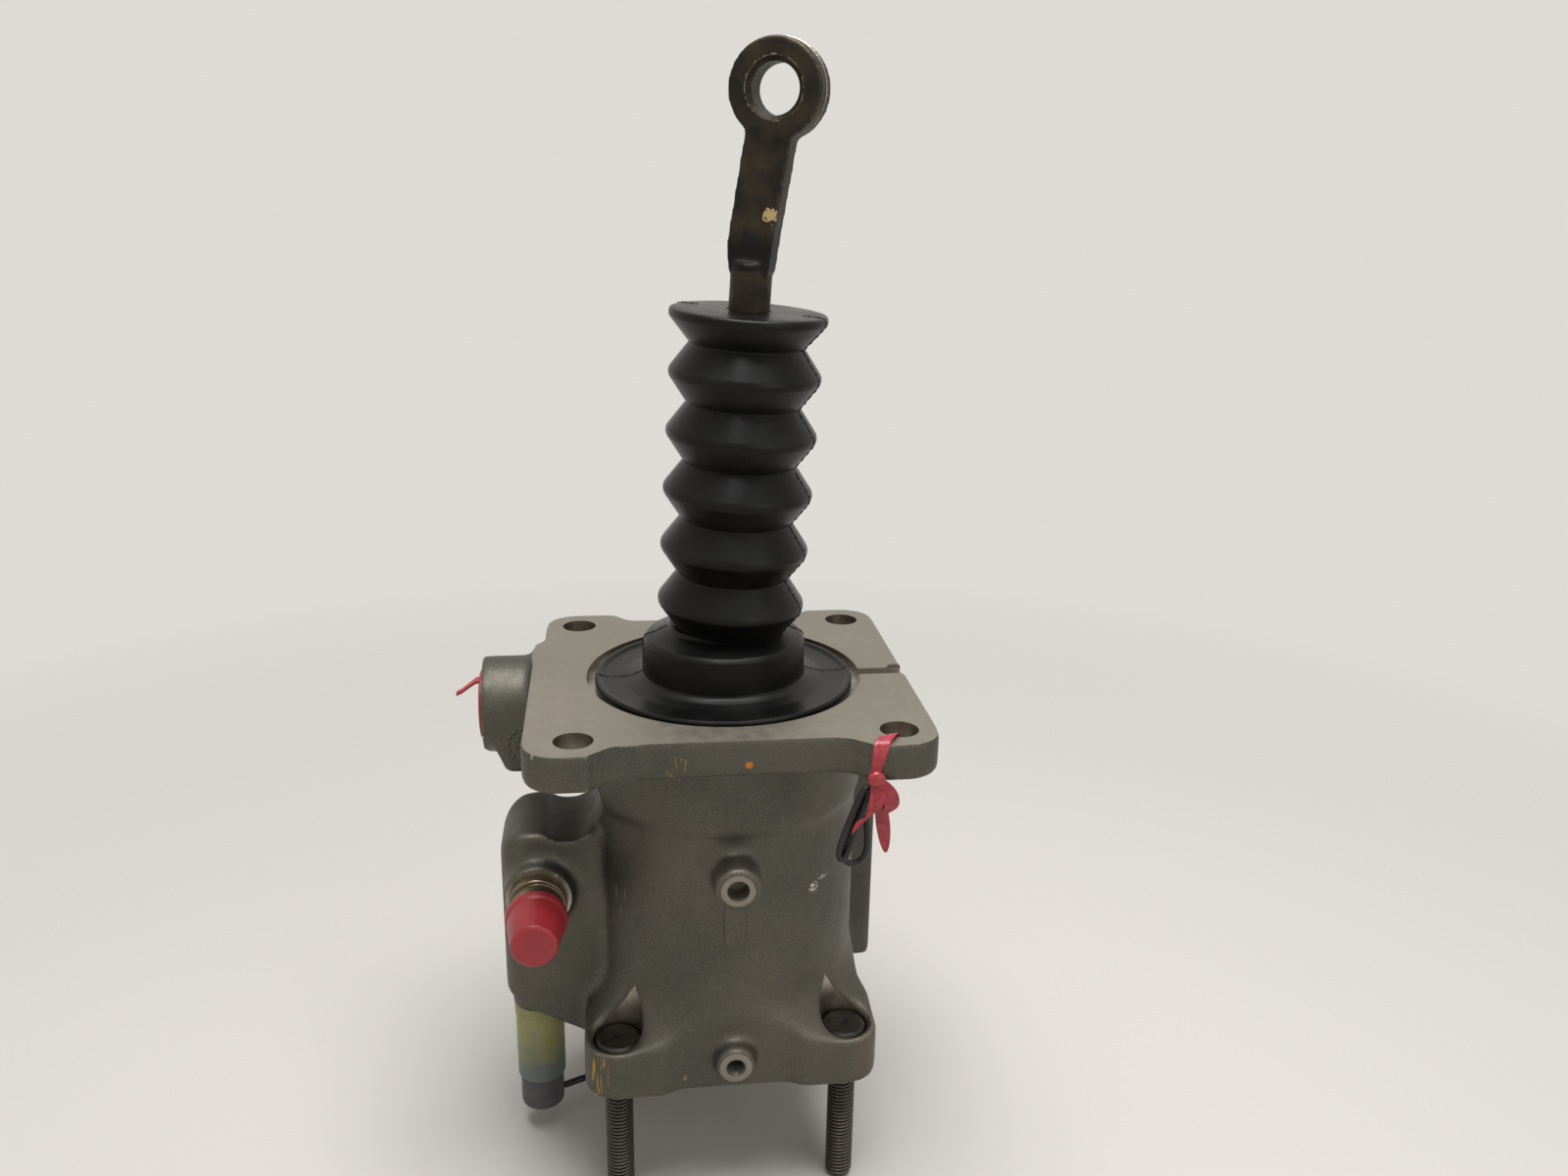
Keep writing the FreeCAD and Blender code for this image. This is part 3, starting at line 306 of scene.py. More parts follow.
def join_rings(form, rings):
    """Skin a row of rings of vertices and close its two ends."""
    faces = []
    for low, high in zip(rings, rings[1:]):
        for step in range(len(low)):
            after = (step + 1) % len(low)
            faces.append(form.faces.new((low[step], low[after], high[after], high[step])))
    return faces + [form.faces.new(rings[0]), form.faces.new(rings[-1])]


def prism(form, outline, low, high, place=Matrix.Identity(4)):
    """A straight prism from its outline in mm."""
    join_rings(form, [[form.verts.new(place @ (Vector((*corner, level)) * mm)) for corner in outline]
                      for level in (low, high)])


def cut_with(piece, form, material):
    """Cut a closed form out of a piece; the new faces take the material."""
    cutter = from_bmesh("cutter", form, [material] if material else [])
    cut = piece.modifiers.new("cut", "BOOLEAN")
    cut.operation = "DIFFERENCE"
    cut.solver = "MANIFOLD"
    cut.object = cutter
    bake_modifiers(piece)
    bpy.data.objects.remove(cutter)


# Hollows of the pattern, cut before a second remesh so that they come out as soft as the rest:
# the saddle between the valve lobe and the barrel, and the waist of the top plate's front edge
saddle_round, saddle_centre = 13.0, (-57.5, 98.0)
hollows = bmesh.new()
stepped(hollows, Matrix.Translation((saddle_centre[0] * mm, 0, saddle_centre[1] * mm))
        @ Matrix.Rotation(math.radians(90), 4, "X"), [(saddle_round, -30, 34)], 64)
waist = [(-50.5, -75), (-48.0, -67.5), (-41, -61.6), (35.5, -61.6), (42.5, -67.5), (45, -75)]
prism(hollows, waist, 118, 150)
cut_with(housing, hollows, None)
soft_skin(housing, casting_grid, 8)

cuts = {"bores": bmesh.new(), "faces": bmesh.new(), "holes": bmesh.new(), "ports": bmesh.new(),
        "cast_ports": bmesh.new(), "taper": bmesh.new(), "drain": bmesh.new()}
stepped(cuts["bores"], Matrix.Identity(4), chamber_steps, 128)
for low, high in ((body_height, body_height + 9), (-9, 0)):
    stepped(cuts["faces"], Matrix.Identity(4), [(200, low, high)])
for x, y in plate_holes:
    stepped(cuts["holes"], towards((0, 0, 1), (x, y, 0)), [(6.5, 120, 150)])
for x, y in bolt_places:
    stepped(cuts["holes"], towards((0, 0, 1), (x, y, 0)), [(5.3, -5, 9.5), (8.8, 9.5, 50)])
for name, (axis, face, boss, bore, depth, milled) in ports.items():
    group = "cast_ports" if name in ("front", "base") else "ports"
    stepped(cuts[group], towards(axis, face), [(bore, -depth, 0), (boss + 2, 0, 3)])
# The foot of the return boss tapers in below the plug's rim
taper = [(108, -90), (108, -88), (98, -81.5), (90, -81.5), (90, -90)]
prism(cuts["taper"], [(x, z) for z, x in taper], -46, 0, Matrix.Rotation(math.radians(90), 4, "X"))
drain_start, drain_end, drain_near, drain_far, drain_floor = 45, 85, -5.6, 0.2, 137.5
prism(cuts["drain"], [(drain_start, drain_near), (drain_end, drain_near), (drain_end, drain_far),
                      (drain_start, drain_far)], drain_floor, body_height + 7.5)

machined, tree, shader, where = finish_of("turned_aluminium")
marks = node(tree, "TexWave", {"Vector": where, "Scale": 1 / (0.25 * 2 * math.pi * mm),
                               "Distortion": 0.4, "Detail": 1.0}, wave_type="RINGS", rings_direction="Z")
marks_bump = node(tree, "Bump", {
    "Height": marks.outputs["Fac"], "Strength": 0.25, "Distance": 0.02 * mm})
stain = node(tree, "TexNoise", {"Vector": where, "Scale": 1 / (9 * mm), "Detail": 4.0})
wire(tree, shader, {
    "Base Color": shade(tree, spread(tree, stain.outputs["Fac"], 0.35, 0.7),
                        colour("#8b8478"), colour("#b3aca0")),
    "Metallic": 1.0, "Roughness": 0.36, "Normal": marks_bump.outputs["Normal"]})

# The blasting grit is about 0.3 mm; it is drawn at 0.5 mm so that it shows. Edges are rubbed
# bright, and the shop left paint marks and scuffs: place, reach, colour, cover, length of a fleck
blasted, tree, shader, where = finish_of("blasted_cast_aluminium")
grit = node(tree, "TexNoise", {"Vector": where, "Scale": 1 / (0.5 * mm), "Detail": 2.0})
skin = node(tree, "TexNoise", {"Vector": where, "Scale": 1 / (5 * mm), "Detail": 5.0})
patches = node(tree, "TexNoise", {"Vector": where, "Scale": 1 / (45 * mm), "Detail": 3.0})
tone = shade(tree, spread(tree, patches.outputs["Fac"], 0.35, 0.65),
             colour("#504f48"), colour("#5e5b52"))
tone = shade(tree, spread(tree, grit.outputs["Fac"], 0.5, 0.75, 0.0, 0.4), tone, colour("#857f72"))
rubbed = spread(tree, node(tree, "NewGeometry").outputs["Pointiness"], 0.53, 0.6, 0.0, 0.75)
# In the flat copy below, this bright mix covers whole faces evenly: there it is painted light, not wear
tone = shade(tree, rubbed, tone, colour("#b8b0a1"))
shop_marks = [
    ((-48.5, -52, 9), (4.5, 5, 12), "#b08a2a", 0.54, 9),
    ((-17.4, -48, 5), (1.6, 3, 2.2), "#a08434", 0.42, 1.5),
    ((-20, -61, 131), (4, 3, 5), "#9c8432", 0.54, 4),
    ((3, -61, 131.5), (1.5, 3, 1.5), "#c07a34", 0.36, 1.5),
    ((48, -53, 11), (6, 5, 9), "#9a3a34", 0.62, 1.2),
    ((28.5, -48, 8), (6, 4, 1.6), "#b9b5aa", 0.52, 0.8),
    ((28.7, -39.7, 73.2), (2.2, 4, 2.6), "#c9c6bd", 0.5, 0.8),
    ((32.6, -37, 75.8), (3.4, 4, 1.0), "#c9c6bd", 0.54, 0.8),
    ((-40, -30, 70), (3, 12, 12), "#8f8a7e", 0.6, 8),
]
for centre, reach, shop_colour, cover, fleck in shop_marks:
    offset = node(tree, "VectorMath", {0: where, 1: Vector(centre) * mm}, operation="SUBTRACT")
    scaled = node(tree, "VectorMath", {
        0: offset.outputs["Vector"], 1: [1 / (part * mm) for part in reach]}, operation="MULTIPLY")
    far = node(tree, "VectorMath", {0: scaled.outputs["Vector"]}, operation="LENGTH")
    stretched = node(tree, "VectorMath", {
        0: where, 1: (1 / (0.9 * mm), 1 / (0.9 * mm), 1 / (fleck * mm))}, operation="MULTIPLY")
    flecks = node(tree, "TexNoise", {"Vector": stretched.outputs["Vector"], "Scale": 1.0, "Detail": 2.0})
    laid = node(tree, "Math", {0: spread(tree, far.outputs["Value"], 0.6, 1.0, 1.0, 0.0),
                               1: spread(tree, flecks.outputs["Fac"], cover, cover + 0.05)},
                operation="MULTIPLY")
    tone = shade(tree, laid.outputs["Value"], tone, colour(shop_colour))
grit_bump = node(tree, "Bump", {"Height": grit.outputs["Fac"], "Strength": 0.35, "Distance": 0.08 * mm})
skin_bump = node(tree, "Bump", {"Height": skin.outputs["Fac"], "Strength": 0.25, "Distance": 0.35 * mm,
                                "Normal": grit_bump.outputs["Normal"]})
wire(tree, shader, {
    "Base Color": tone, "Metallic": 0.85,
    "Roughness": spread(tree, skin.outputs["Fac"], 0.3, 0.7, 0.46, 0.58),
    "Normal": skin_bump.outputs["Normal"]})



def even_pointiness_copy(material, pointiness):
    """A copy for faces cut flat by a tool, with one even pointiness in place of their edges' streaks; a value
    over the rubbed edges' threshold lightens the whole face, which is painted light.
    """
    plain = material.copy()
    finder = next(item for item in plain.node_tree.nodes if item.type == "NEW_GEOMETRY")
    finder.outputs["Pointiness"].links[0].to_socket.default_value = pointiness
    plain.node_tree.nodes.remove(finder)
    return plain


# Pointiness is 0.5 on a flat face, which leaves the rubbed edge colour off; the value just over it spreads
# that bright colour evenly over the whole face as painted light, which keeps the lit top face bright
unrubbed, painted_light_level = 0.5, 0.566
flat_cast_painted_light = even_pointiness_copy(blasted, painted_light_level)
housing.data.materials.clear()
for material in (blasted, machined, flat_cast_painted_light):
    housing.data.materials.append(material)
# The top and bottom faces, the front and base port faces, the taper and the drain take the copy with painted
# light
for name, form in cuts.items():
    cut_with(housing, form, flat_cast_painted_light if name in ("faces", "cast_ports", "taper", "drain") else machined)
housing.data.set_sharp_from_angle(angle=math.radians(35))
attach(housing, "housing")
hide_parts("housing")


# Crisp small forms of the same casting, which its soft skin would lose: the pad below the front
# port, the foundry's ring of dots under the return port, the drain's lip and the base port's thread.


def raised(form, outline, place, low, high, edge=0.3):
    """A flat raised form with a bevelled rim, from its outline in mm."""
    middle = sum((Vector(corner) for corner in outline), Vector((0, 0))) / len(outline)
    levels = ((low, 0.0), (high - edge, 0.0), (high, edge))
    rows = []
    for level, inset in levels:
        inner = [Vector(corner) + (middle - Vector(corner)).normalized() * inset for corner in outline]
        rows.append([form.verts.new(place @ Vector((*(corner * mm), level * mm))) for corner in inner])
    join_rings(form, rows)


details = bmesh.new()
pad_half, pad_foot, pad_top, pad_root, pad_face = 3.9, 56.0, 80.0, 47.0, 50.2
foot_arc = [(pad_half * math.cos(turn), pad_foot + pad_half + pad_half * math.sin(turn))
            for turn in (math.pi * (1 + step / 12) for step in range(13))]
raised(details, foot_arc + [(pad_half, pad_top), (-pad_half, pad_top)],
       towards(front, (0, 0, 0)), pad_root, pad_face)
# The lip beside the drain slot
raised(details, [(60.6, 0.5), (65.6, 0.5), (65.4, 2.2), (61.2, 1.8)],
       Matrix.Identity(4), body_height - 1, body_height + 0.7)
dots_centre, dot_rings = (-72.6, 5.95, 111.4), ((6.4, 15), (3.4, 8))
for ring_radius, count in dot_rings:
    for step in range(count):
        turn = 2 * math.pi * (step + 0.3) / count
        spot = Vector(dots_centre) + Vector((math.cos(turn), 0, math.sin(turn))) * ring_radius
        bmesh.ops.create_icosphere(details, subdivisions=2, radius=0.85 * mm,
                                   matrix=Matrix.Translation(spot * mm) @ Matrix.Diagonal(
                                       (1.0, 0.7, 1.0, 1.0)) @ Matrix.Rotation(turn, 4, "Y"))
# The base port's thread is a tube whose inner wall follows the helix
thread_place, thread_pitch, thread_rows, around = towards(*ports["base"][:2]), 1.25, 56, 32
thread_low, thread_length = -7.3, 7.0
thread_core, thread_depth, thread_wall = 2.95, 0.55, 3.8
inner_rows, outer_rows = [], []
for row in range(thread_rows):
    level = thread_low + thread_length * row / (thread_rows - 1)
    inner_row, outer_row = [], []
    for step in range(around):
        turn = 2 * math.pi * step / around
        groove = abs((level / thread_pitch - step / around) % 1.0 - 0.5) * 2 * thread_depth
        reach = thread_core + groove
        aim = Vector((math.cos(turn), math.sin(turn), 0))
        inner_row.append(details.verts.new(thread_place @ ((aim * reach + Vector((0, 0, level))) * mm)))
        outer_row.append(details.verts.new(thread_place @ ((aim * thread_wall + Vector((0, 0, level))) * mm)))
    inner_rows.append(inner_row)
    outer_rows.append(outer_row)
for rows in (inner_rows, outer_rows):
    for lower_row, upper_row in zip(rows, rows[1:]):
        for step in range(around):
            after = (step + 1) % around
            details.faces.new((lower_row[step], lower_row[after], upper_row[after], upper_row[step]))
for end in (0, -1):
    for step in range(around):
        after = (step + 1) % around
        details.faces.new((inner_rows[end][step], inner_rows[end][after],
                           outer_rows[end][after], outer_rows[end][step]))
casting_details = from_bmesh("housing_casting_details", details, [even_pointiness_copy(blasted, unrubbed)])
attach(casting_details, "housing")

# Base bolts: four steel M10 bolts with plain round heads, black phosphated and oiled. They are
# pressed in from above, so the heads sit in the recesses and the threads stand out below.


def rounded(corners, closed=False, step=0.25):
    """Profile points in metres from corners in mm: (radius, height) or (radius, height, round)."""
    points = []
    last = len(corners) - 1
    for number, corner in enumerate(corners):
        here = Vector(corner[:2])
        if len(corner) == 2 or (not closed and number in (0, last)):
            points.append(here)
            continue
        back = Vector(corners[number - 1][:2]) - here
        ahead = Vector(corners[(number + 1) % len(corners)][:2]) - here
        half = back.angle(ahead) / 2
        cut = min(corner[2] / math.tan(half), 0.49 * back.length, 0.49 * ahead.length)
        middle = here + (back.normalized() + ahead.normalized()).normalized() * cut / math.cos(half)
        enter = here + back.normalized() * cut - middle
        leave = here + ahead.normalized() * cut - middle
        count = max(2, math.ceil((math.pi - 2 * half) / step))
        radius = enter.length
        points += [middle + enter.slerp(leave, share / count).normalized() * radius
                   for share in range(count + 1)]
    return [(point.x * mm, point.y * mm) for point in points]


def turned(name, corners, material, place=Matrix.Identity(4), closed=False, around=96):
    """One turned or moulded round piece from its half section."""
    form = bmesh.new()
    turn_profile(form, rounded(corners, closed), closed, around, place)
    return from_bmesh(name, form, [material])


def add_thread(form, place, radius, pitch, low, high, around=40):
    """A screw thread as a grid whose radius follows the helix; its ends run out to the root."""
    depth = 0.61 * pitch
    rows = int((high - low) / pitch * 8)
    grid = []
    for row in range(rows + 1):
        height = low + (high - low) * row / rows
        runout = min(1.0, (height - low) / pitch, (high - height) / pitch)
        ring = []
        for step in range(around):
            turn = 2 * math.pi * step / around
            phase = (height / pitch - step / around) % 1.0
            crest = max(0.0, min(1.0, 1.35 - 2.7 * abs(phase - 0.5) * 1.0))
            reach = radius - depth * (1 - crest * runout)
            ring.append(form.verts.new(place @ Vector((
                reach * math.cos(turn) * mm, reach * math.sin(turn) * mm, height * mm))))
        grid.append(ring)
    join_rings(form, grid)


phosphated, tree, shader, where = finish_of("black_phosphated_steel")
crystals = node(tree, "TexNoise", {"Vector": where, "Scale": 1 / (0.35 * mm), "Detail": 3.0})
rubbed = node(tree, "TexNoise", {"Vector": where, "Scale": 1 / (3 * mm), "Detail": 4.0})
bare = node(tree, "NewGeometry").outputs["Pointiness"]
edges = spread(tree, bare, 0.5, 0.56, 0.0, 0.8)
coat_bump = node(tree, "Bump", {
    "Height": crystals.outputs["Fac"], "Strength": 0.4, "Distance": 0.03 * mm})
coat = shade(tree, spread(tree, rubbed.outputs["Fac"], 0.4, 0.65),
             colour("#1c1b19"), colour("#33302c"))
wire(tree, shader, {
    "Base Color": shade(tree, edges, coat, colour("#6b665d")), "Metallic": 0.8,
    "Roughness": spread(tree, crystals.outputs["Fac"], 0.3, 0.7, 0.38, 0.52),
    "Normal": coat_bump.outputs["Normal"]})

head_top, head_foot, bolt_tip = 17.5, 9.5, -49.0
bolts = bmesh.new()
for x, y in bolt_places:
    spot = Matrix.Translation(Vector((x, y, 0)) * mm)
    head = rounded([(0, head_foot), (8, head_foot), (8, head_top - 1.0, 0.3),
                    (7.1, head_top, 0.3), (1.8, head_top, 0.3), (1.3, head_top - 0.25, 0.2),
                    (0, head_top - 0.25)])
    turn_profile(bolts, head, around=64, place=spot)
    shank = rounded([(0, bolt_tip), (3.4, bolt_tip, 0.3), (4.0, bolt_tip + 1.4), (4.0, -1),
                     (5.2, -0.2), (5.2, head_foot), (0, head_foot)])
    turn_profile(bolts, shank, around=48, place=spot)
    add_thread(bolts, spot, 5.0, 1.5, bolt_tip + 0.9, -0.4)
base_bolts = from_bmesh("base_bolts_threaded", bolts, [phosphated])
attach(base_bolts, "housing")
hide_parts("base_bolts")


# Pieces inside the bore: the guide, its clip, the bushes and the seals. They are turned aluminium
# and bronze, moulded nitrile rubber and drawn spring steel, and keep their CAD shape.


def metal(name, dark, light, roughness, mark, depth):
    """Turned or drawn metal with fine marks and soft stains."""
    material, tree, shader, where = finish_of(name)
    stain = node(tree, "TexNoise", {"Vector": where, "Scale": 1 / (7 * mm), "Detail": 4.0})
    fine = node(tree, "TexNoise", {"Vector": where, "Scale": 1 / mark, "Detail": 3.0})
    bump = node(tree, "Bump", {"Height": fine.outputs["Fac"], "Strength": 0.4, "Distance": depth})
    wire(tree, shader, {
        "Base Color": shade(tree, spread(tree, stain.outputs["Fac"], 0.35, 0.65),
                            colour(dark), colour(light)),
        "Metallic": 1.0, "Normal": bump.outputs["Normal"],
        "Roughness": spread(tree, fine.outputs["Fac"], 0.3, 0.7, roughness - 0.05, roughness + 0.08)})
    return material


ground_steel = metal("ground_steel", "#77736d", "#9a958d", 0.28, 0.4 * mm, 0.01 * mm)
spring_steel = metal("oiled_spring_steel", "#4a4743", "#6b6761", 0.34, 0.5 * mm, 0.02 * mm)
bronze = metal("sintered_bronze", "#8a6a35", "#a98750", 0.4, 0.3 * mm, 0.03 * mm)
nitrile = soft_plastic("nitrile_rubber", "#101010", "#1c1c1b", 0.5, 0.4 * mm, 0.02 * mm)
glass_filled = soft_plastic("bearing_band_plastic", "#5b4a33", "#6b583e", 0.45, 0.4 * mm, 0.02 * mm)
carried = {
    machined: ["piston_guide", "piston"],
    ground_steel: ["output_rod", "plunger", "valve_spool", "ball_retainer", "switch_body"],
    spring_steel: ["guide_circlip"],
    bronze: ["output_bush"],
    nitrile: ["rod_seal", "output_seal", "piston_seal", "reaction_disc"],
    glass_filled: ["piston_band"],
}
for material, names in carried.items():
    for name in names:
        nodes[name].data.materials.clear()
        nodes[name].data.materials.append(material)


# Springs: cold drawn wire, coiled, oiled. The return spring pushes the piston back up; the light
# valve spring sits between piston and plunger. Each is a copy of its CAD coil, carried by its body.
plunger_stroke, piston_stroke = 38.0, 36.1
for name, body, foot_level, stroke in (("return_spring", "housing", 14.0, piston_stroke),
                                       ("valve_spring", "piston", 89.7, plunger_stroke - piston_stroke)):
    coil_form = bmesh.new()
    coil_form.from_mesh(nodes[name].data)
    coil = from_bmesh(name + "_coil", coil_form, [spring_steel])
    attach(coil, body)
    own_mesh(coil)
    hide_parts(name)


# Boot: moulded black rubber bellows. A dished disc with a rolled rim sits in the counterbore, a
# collar stands on it, and six folds lean with the push rod. Its skin is satin with grey bloom,
# and ragged flash stands along the mould's parting line, left and right.


def sweep_flash(form, stations, half, rise, wander=0.0, material=0):
    """A thin ragged ridge along stations of (place, outward), in mm."""
    rows = []
    for number, (spot, outward) in enumerate(stations):
        ahead = stations[min(number + 1, len(stations) - 1)][0] - stations[max(number - 1, 0)][0]
        side = ahead.cross(outward).normalized()
        middle = spot + side * wander * (math.sin(2.1 * number) + 0.6 * math.sin(5.3 * number))
        top = outward * rise * (1.0 + 0.5 * math.sin(3.7 * number))
        corners = (middle - side * half, middle + top, middle + side * half, middle - outward * half)
        rows.append([form.verts.new(corner * mm) for corner in corners])
    for face in join_rings(form, rows):
        face.material_index = material


boot_rubber, tree, shader, where = finish_of("satin_black_rubber")
bloom = node(tree, "TexNoise", {"Vector": where, "Scale": 1 / (14 * mm), "Detail": 5.0})
skin = node(tree, "TexNoise", {"Vector": where, "Scale": 1 / (0.8 * mm), "Detail": 3.0})
skin_bump = node(tree, "Bump", {
    "Height": skin.outputs["Fac"], "Strength": 0.2, "Distance": 0.04 * mm})
wire(tree, shader, {
    "Base Color": shade(tree, spread(tree, bloom.outputs["Fac"], 0.4, 0.7),
                        colour("#0a0a0a"), colour("#121211")),
    "Roughness": spread(tree, bloom.outputs["Fac"], 0.3, 0.7, 0.26, 0.38),
    "IOR": 1.5, "Specular IOR Level": 0.2, "Normal": skin_bump.outputs["Normal"]})
flash_rubber = soft_plastic("torn_black_rubber", "#050505", "#0b0b0b", 0.7, 0.4 * mm, 0.05 * mm)

ball_level = 126.0
lean = Matrix.Translation((0, 0, ball_level * mm)) @ Matrix.Rotation(
    math.radians(-26), 4, "Z") @ Matrix.Rotation(math.radians(3.3), 4, "Y")
wall, root, crest, pitch, first_crest, folds = 1.6, 19.5, 26.7, 20.1, 42.5, 6
rim_top, collar_top, shoulder_top = 140.3, 155.5, 159.3
base_profile = [
    (26.8, counterbore_floor), (46.3, counterbore_floor, 0.4), (46.45, rim_top - 0.9, 0.5),
    (45.9, rim_top, 0.5), (44.9, rim_top, 0.5), (43.6, rim_top - 0.9, 0.9),
    (36.0, rim_top - 1.0, 4), (31.5, rim_top + 0.1, 3), (29.1, rim_top + 1.4, 1.5),
    (28.9, collar_top - 1.4, 0.8), (27.8, collar_top - 0.1, 1.0), (25.5, collar_top + 0.7, 2.0),
    (20.6, shoulder_top - 0.9, 1.5), (19.6, shoulder_top + 0.3),
    (17.4, shoulder_top + 0.3), (17.4, collar_top - 3.6, 1.0), (26.8, collar_top - 3.6, 1.0),
]


def parting(form, profile, turn, place, material=1):
    """Mould flash up a half section of (radius, height) points in metres, at one side."""
    stations = []
    around = Matrix.Rotation(turn, 4, "Z")
    points = [Vector((radius, 0, height)) / mm for radius, height in profile]
    for low, high in zip(points, points[1:]):
        run = high - low
        count = max(1, round(run.length / 1.1))
        outward = Vector((run.z, 0, -run.x)).normalized()
        for step in range(count):
            spot = place @ around @ ((low + run * step / count) * mm) / mm
            stations.append((spot, (place @ around).to_3x3() @ outward))
    sweep_flash(form, stations, 0.28, 0.3, 0.3, material)


def boot_part(name, profile, seam, place, around=128):
    """One turned part of the boot with flash along its outer half section, left and right."""
    form = bmesh.new()
    turn_profile(form, rounded(profile, closed=True), True, around, place)
    for turn in (math.radians(178), math.radians(2)):
        parting(form, rounded(seam), turn, place)
    return from_bmesh(name, form, [boot_rubber, flash_rubber])


boot_base = boot_part("boot_base", base_profile, base_profile[3:14], Matrix.Identity(4), 160)

crests = [first_crest + pitch * number for number in range(folds)]
valleys = [level + pitch / 2 for level in crests[:-1]]
split = valleys[2]


def folds_between(low, high):
    """Rounded crests and sharp valleys of the bellows between two heights up the lean."""
    marks = [(crest, level, 3.2) for level in crests] + [(root, level, 0.5) for level in valleys]
    return [mark for mark in sorted(marks, key=lambda mark: mark[1]) if low < mark[1] < high]


def inside(skin):
    return [(radius - wall, level, bend) for radius, level, bend in reversed(skin)]


foot = shoulder_top - ball_level
skin = folds_between(foot, split - 1)
outer = [(19.6, foot - 0.4)] + skin + [(root, split)]
lower = boot_part("boot_folds_lower", [(17.2, foot - 1.5), (19.3, foot - 1.5)] + outer + [
    (root - wall, split)] + inside(skin), outer, lean)
skin = folds_between(split + 1, crests[-1] - 1)
top = crests[-1] + 1.4
outer = [(root, split, 0.5)] + skin + [
    (crest, top - 2.9, 1.8), (crest - 0.1, top - 0.3, 1.3), (crest - 3.4, top, 0.8),
    (9.4, top - 0.2, 0.5)]
upper = boot_part("boot_folds_upper", [(root - wall, split - 3), (root - 0.6, split - 3)] + outer + [
    (7.35, top + 0.2, 0.3), (7.35, top - wall, 0.3), (crest - 5.5, top - wall - 0.4, 1.0)]
    + inside(skin), outer[:-1] + [(17.5, top - 0.1)], lean)
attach(boot_base, "housing")
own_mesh(lower)
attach(lower, "housing")
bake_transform(upper)
for piece in (boot_base, lower, upper):
    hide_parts("boot")


# Push rod: one steel forging, trimmed and phosphated brown black. A round rod ends in a flat
# shank that runs into the eye; only the eye's hole is machined. Some tan paint marks the shank.
forged, tree, shader, where = finish_of("phosphated_forged_steel")
scale = node(tree, "TexNoise", {"Vector": where, "Scale": 1 / (1.1 * mm), "Detail": 4.0})
patches = node(tree, "TexNoise", {"Vector": where, "Scale": 1 / (10 * mm), "Detail": 5.0})
rubbed = spread(tree, node(tree, "NewGeometry").outputs["Pointiness"], 0.53, 0.6, 0.0, 0.7)
body_colour = shade(tree, spread(tree, patches.outputs["Fac"], 0.38, 0.62),
                    colour("#1f1b15"), colour("#3a3122"))
bare = shade(tree, rubbed, body_colour, colour("#8f8677"))
# A band of black paint was sprayed round the foot of the shank, with a soft upper edge
height = node(tree, "SeparateXYZ", {"Vector": where}).outputs["Z"]
mist = node(tree, "Math", {0: height, 1: spread(tree, scale.outputs["Fac"], 0.3, 0.7, -2 * mm, 2 * mm)},
            operation="ADD")
sprayed = node(tree, "Math", {0: spread(tree, mist.outputs["Value"], 291 * mm, 297 * mm, 1.0, 0.0),
                              1: spread(tree, height, 282.5 * mm, 283.5 * mm)}, operation="MULTIPLY")
bare = shade(tree, sprayed.outputs["Value"], bare, colour("#0d0c0b"))
forged_bump = node(tree, "Bump", {
    "Height": scale.outputs["Fac"], "Strength": 0.4, "Distance": 0.12 * mm})
shank_paint = node(tree, "VectorMath", {0: where, 1: (13.1 * mm, -11.4 * mm, 300.8 * mm)},
                   operation="DISTANCE")
ragged = node(tree, "Math", {0: shank_paint.outputs["Value"], 1: spread(
    tree, scale.outputs["Fac"], 0.3, 0.7, -1.2 * mm, 1.4 * mm)}, operation="ADD")
painted = spread(tree, ragged.outputs["Value"], 2.1 * mm, 2.4 * mm, 1.0, 0.0)
wire(tree, shader, {
    "Base Color": shade(tree, painted, bare, colour("#c2a877")),
    "Metallic": spread(tree, painted, 0.0, 1.0, 0.6, 0.0),
    "Roughness": spread(tree, scale.outputs["Fac"], 0.3, 0.7, 0.42, 0.6),
    "Normal": forged_bump.outputs["Normal"]})

forging = bmesh.new()
forging.from_mesh(nodes["push_rod"].data)
bmesh.ops.remove_doubles(forging, verts=forging.verts, dist=0.01 * mm)
eye_height, eye_offset, eye_thickness, eye_radius = 213.5, 5.4, 11.0, 15.5
eye = lean @ Matrix.Translation(Vector((eye_offset, 0, eye_height)) * mm) @ Matrix.Rotation(
    math.radians(90), 4, "X")
stepped(forging, eye, [(8.6, -eye_thickness / 2, eye_thickness / 2)], 48)
# Below the eye its thicker disc runs down into the shank in a blunt V
upright = lean @ Matrix.Rotation(math.radians(90), 4, "X")
for side in (-1, 1):
    raised(forging, [(-5.5, 208), (4.6, 199.6), (6.4, 199.6), (16.5, 208), (eye_offset, 214)],
           upright, -eye_thickness / 2, eye_thickness / 2, edge=0.2)
push_rod = from_bmesh("push_rod_forging", forging, [])
soft_skin(push_rod, 0.75, 8)
push_rod.data.materials.append(forged)
eye_cut = bmesh.new()
turn_profile(eye_cut, rounded([(0, -9), (11.5, -9), (9.6, -5.5), (8, -4.1), (8, 4.1), (9.6, 5.5),
                               (11.5, 9), (0, 9)]), place=eye)
plain_forged = even_pointiness_copy(forged, unrubbed)
push_rod.data.materials.append(plain_forged)
cut_with(push_rod, eye_cut, plain_forged)
push_rod.data.set_sharp_from_angle(angle=math.radians(40))

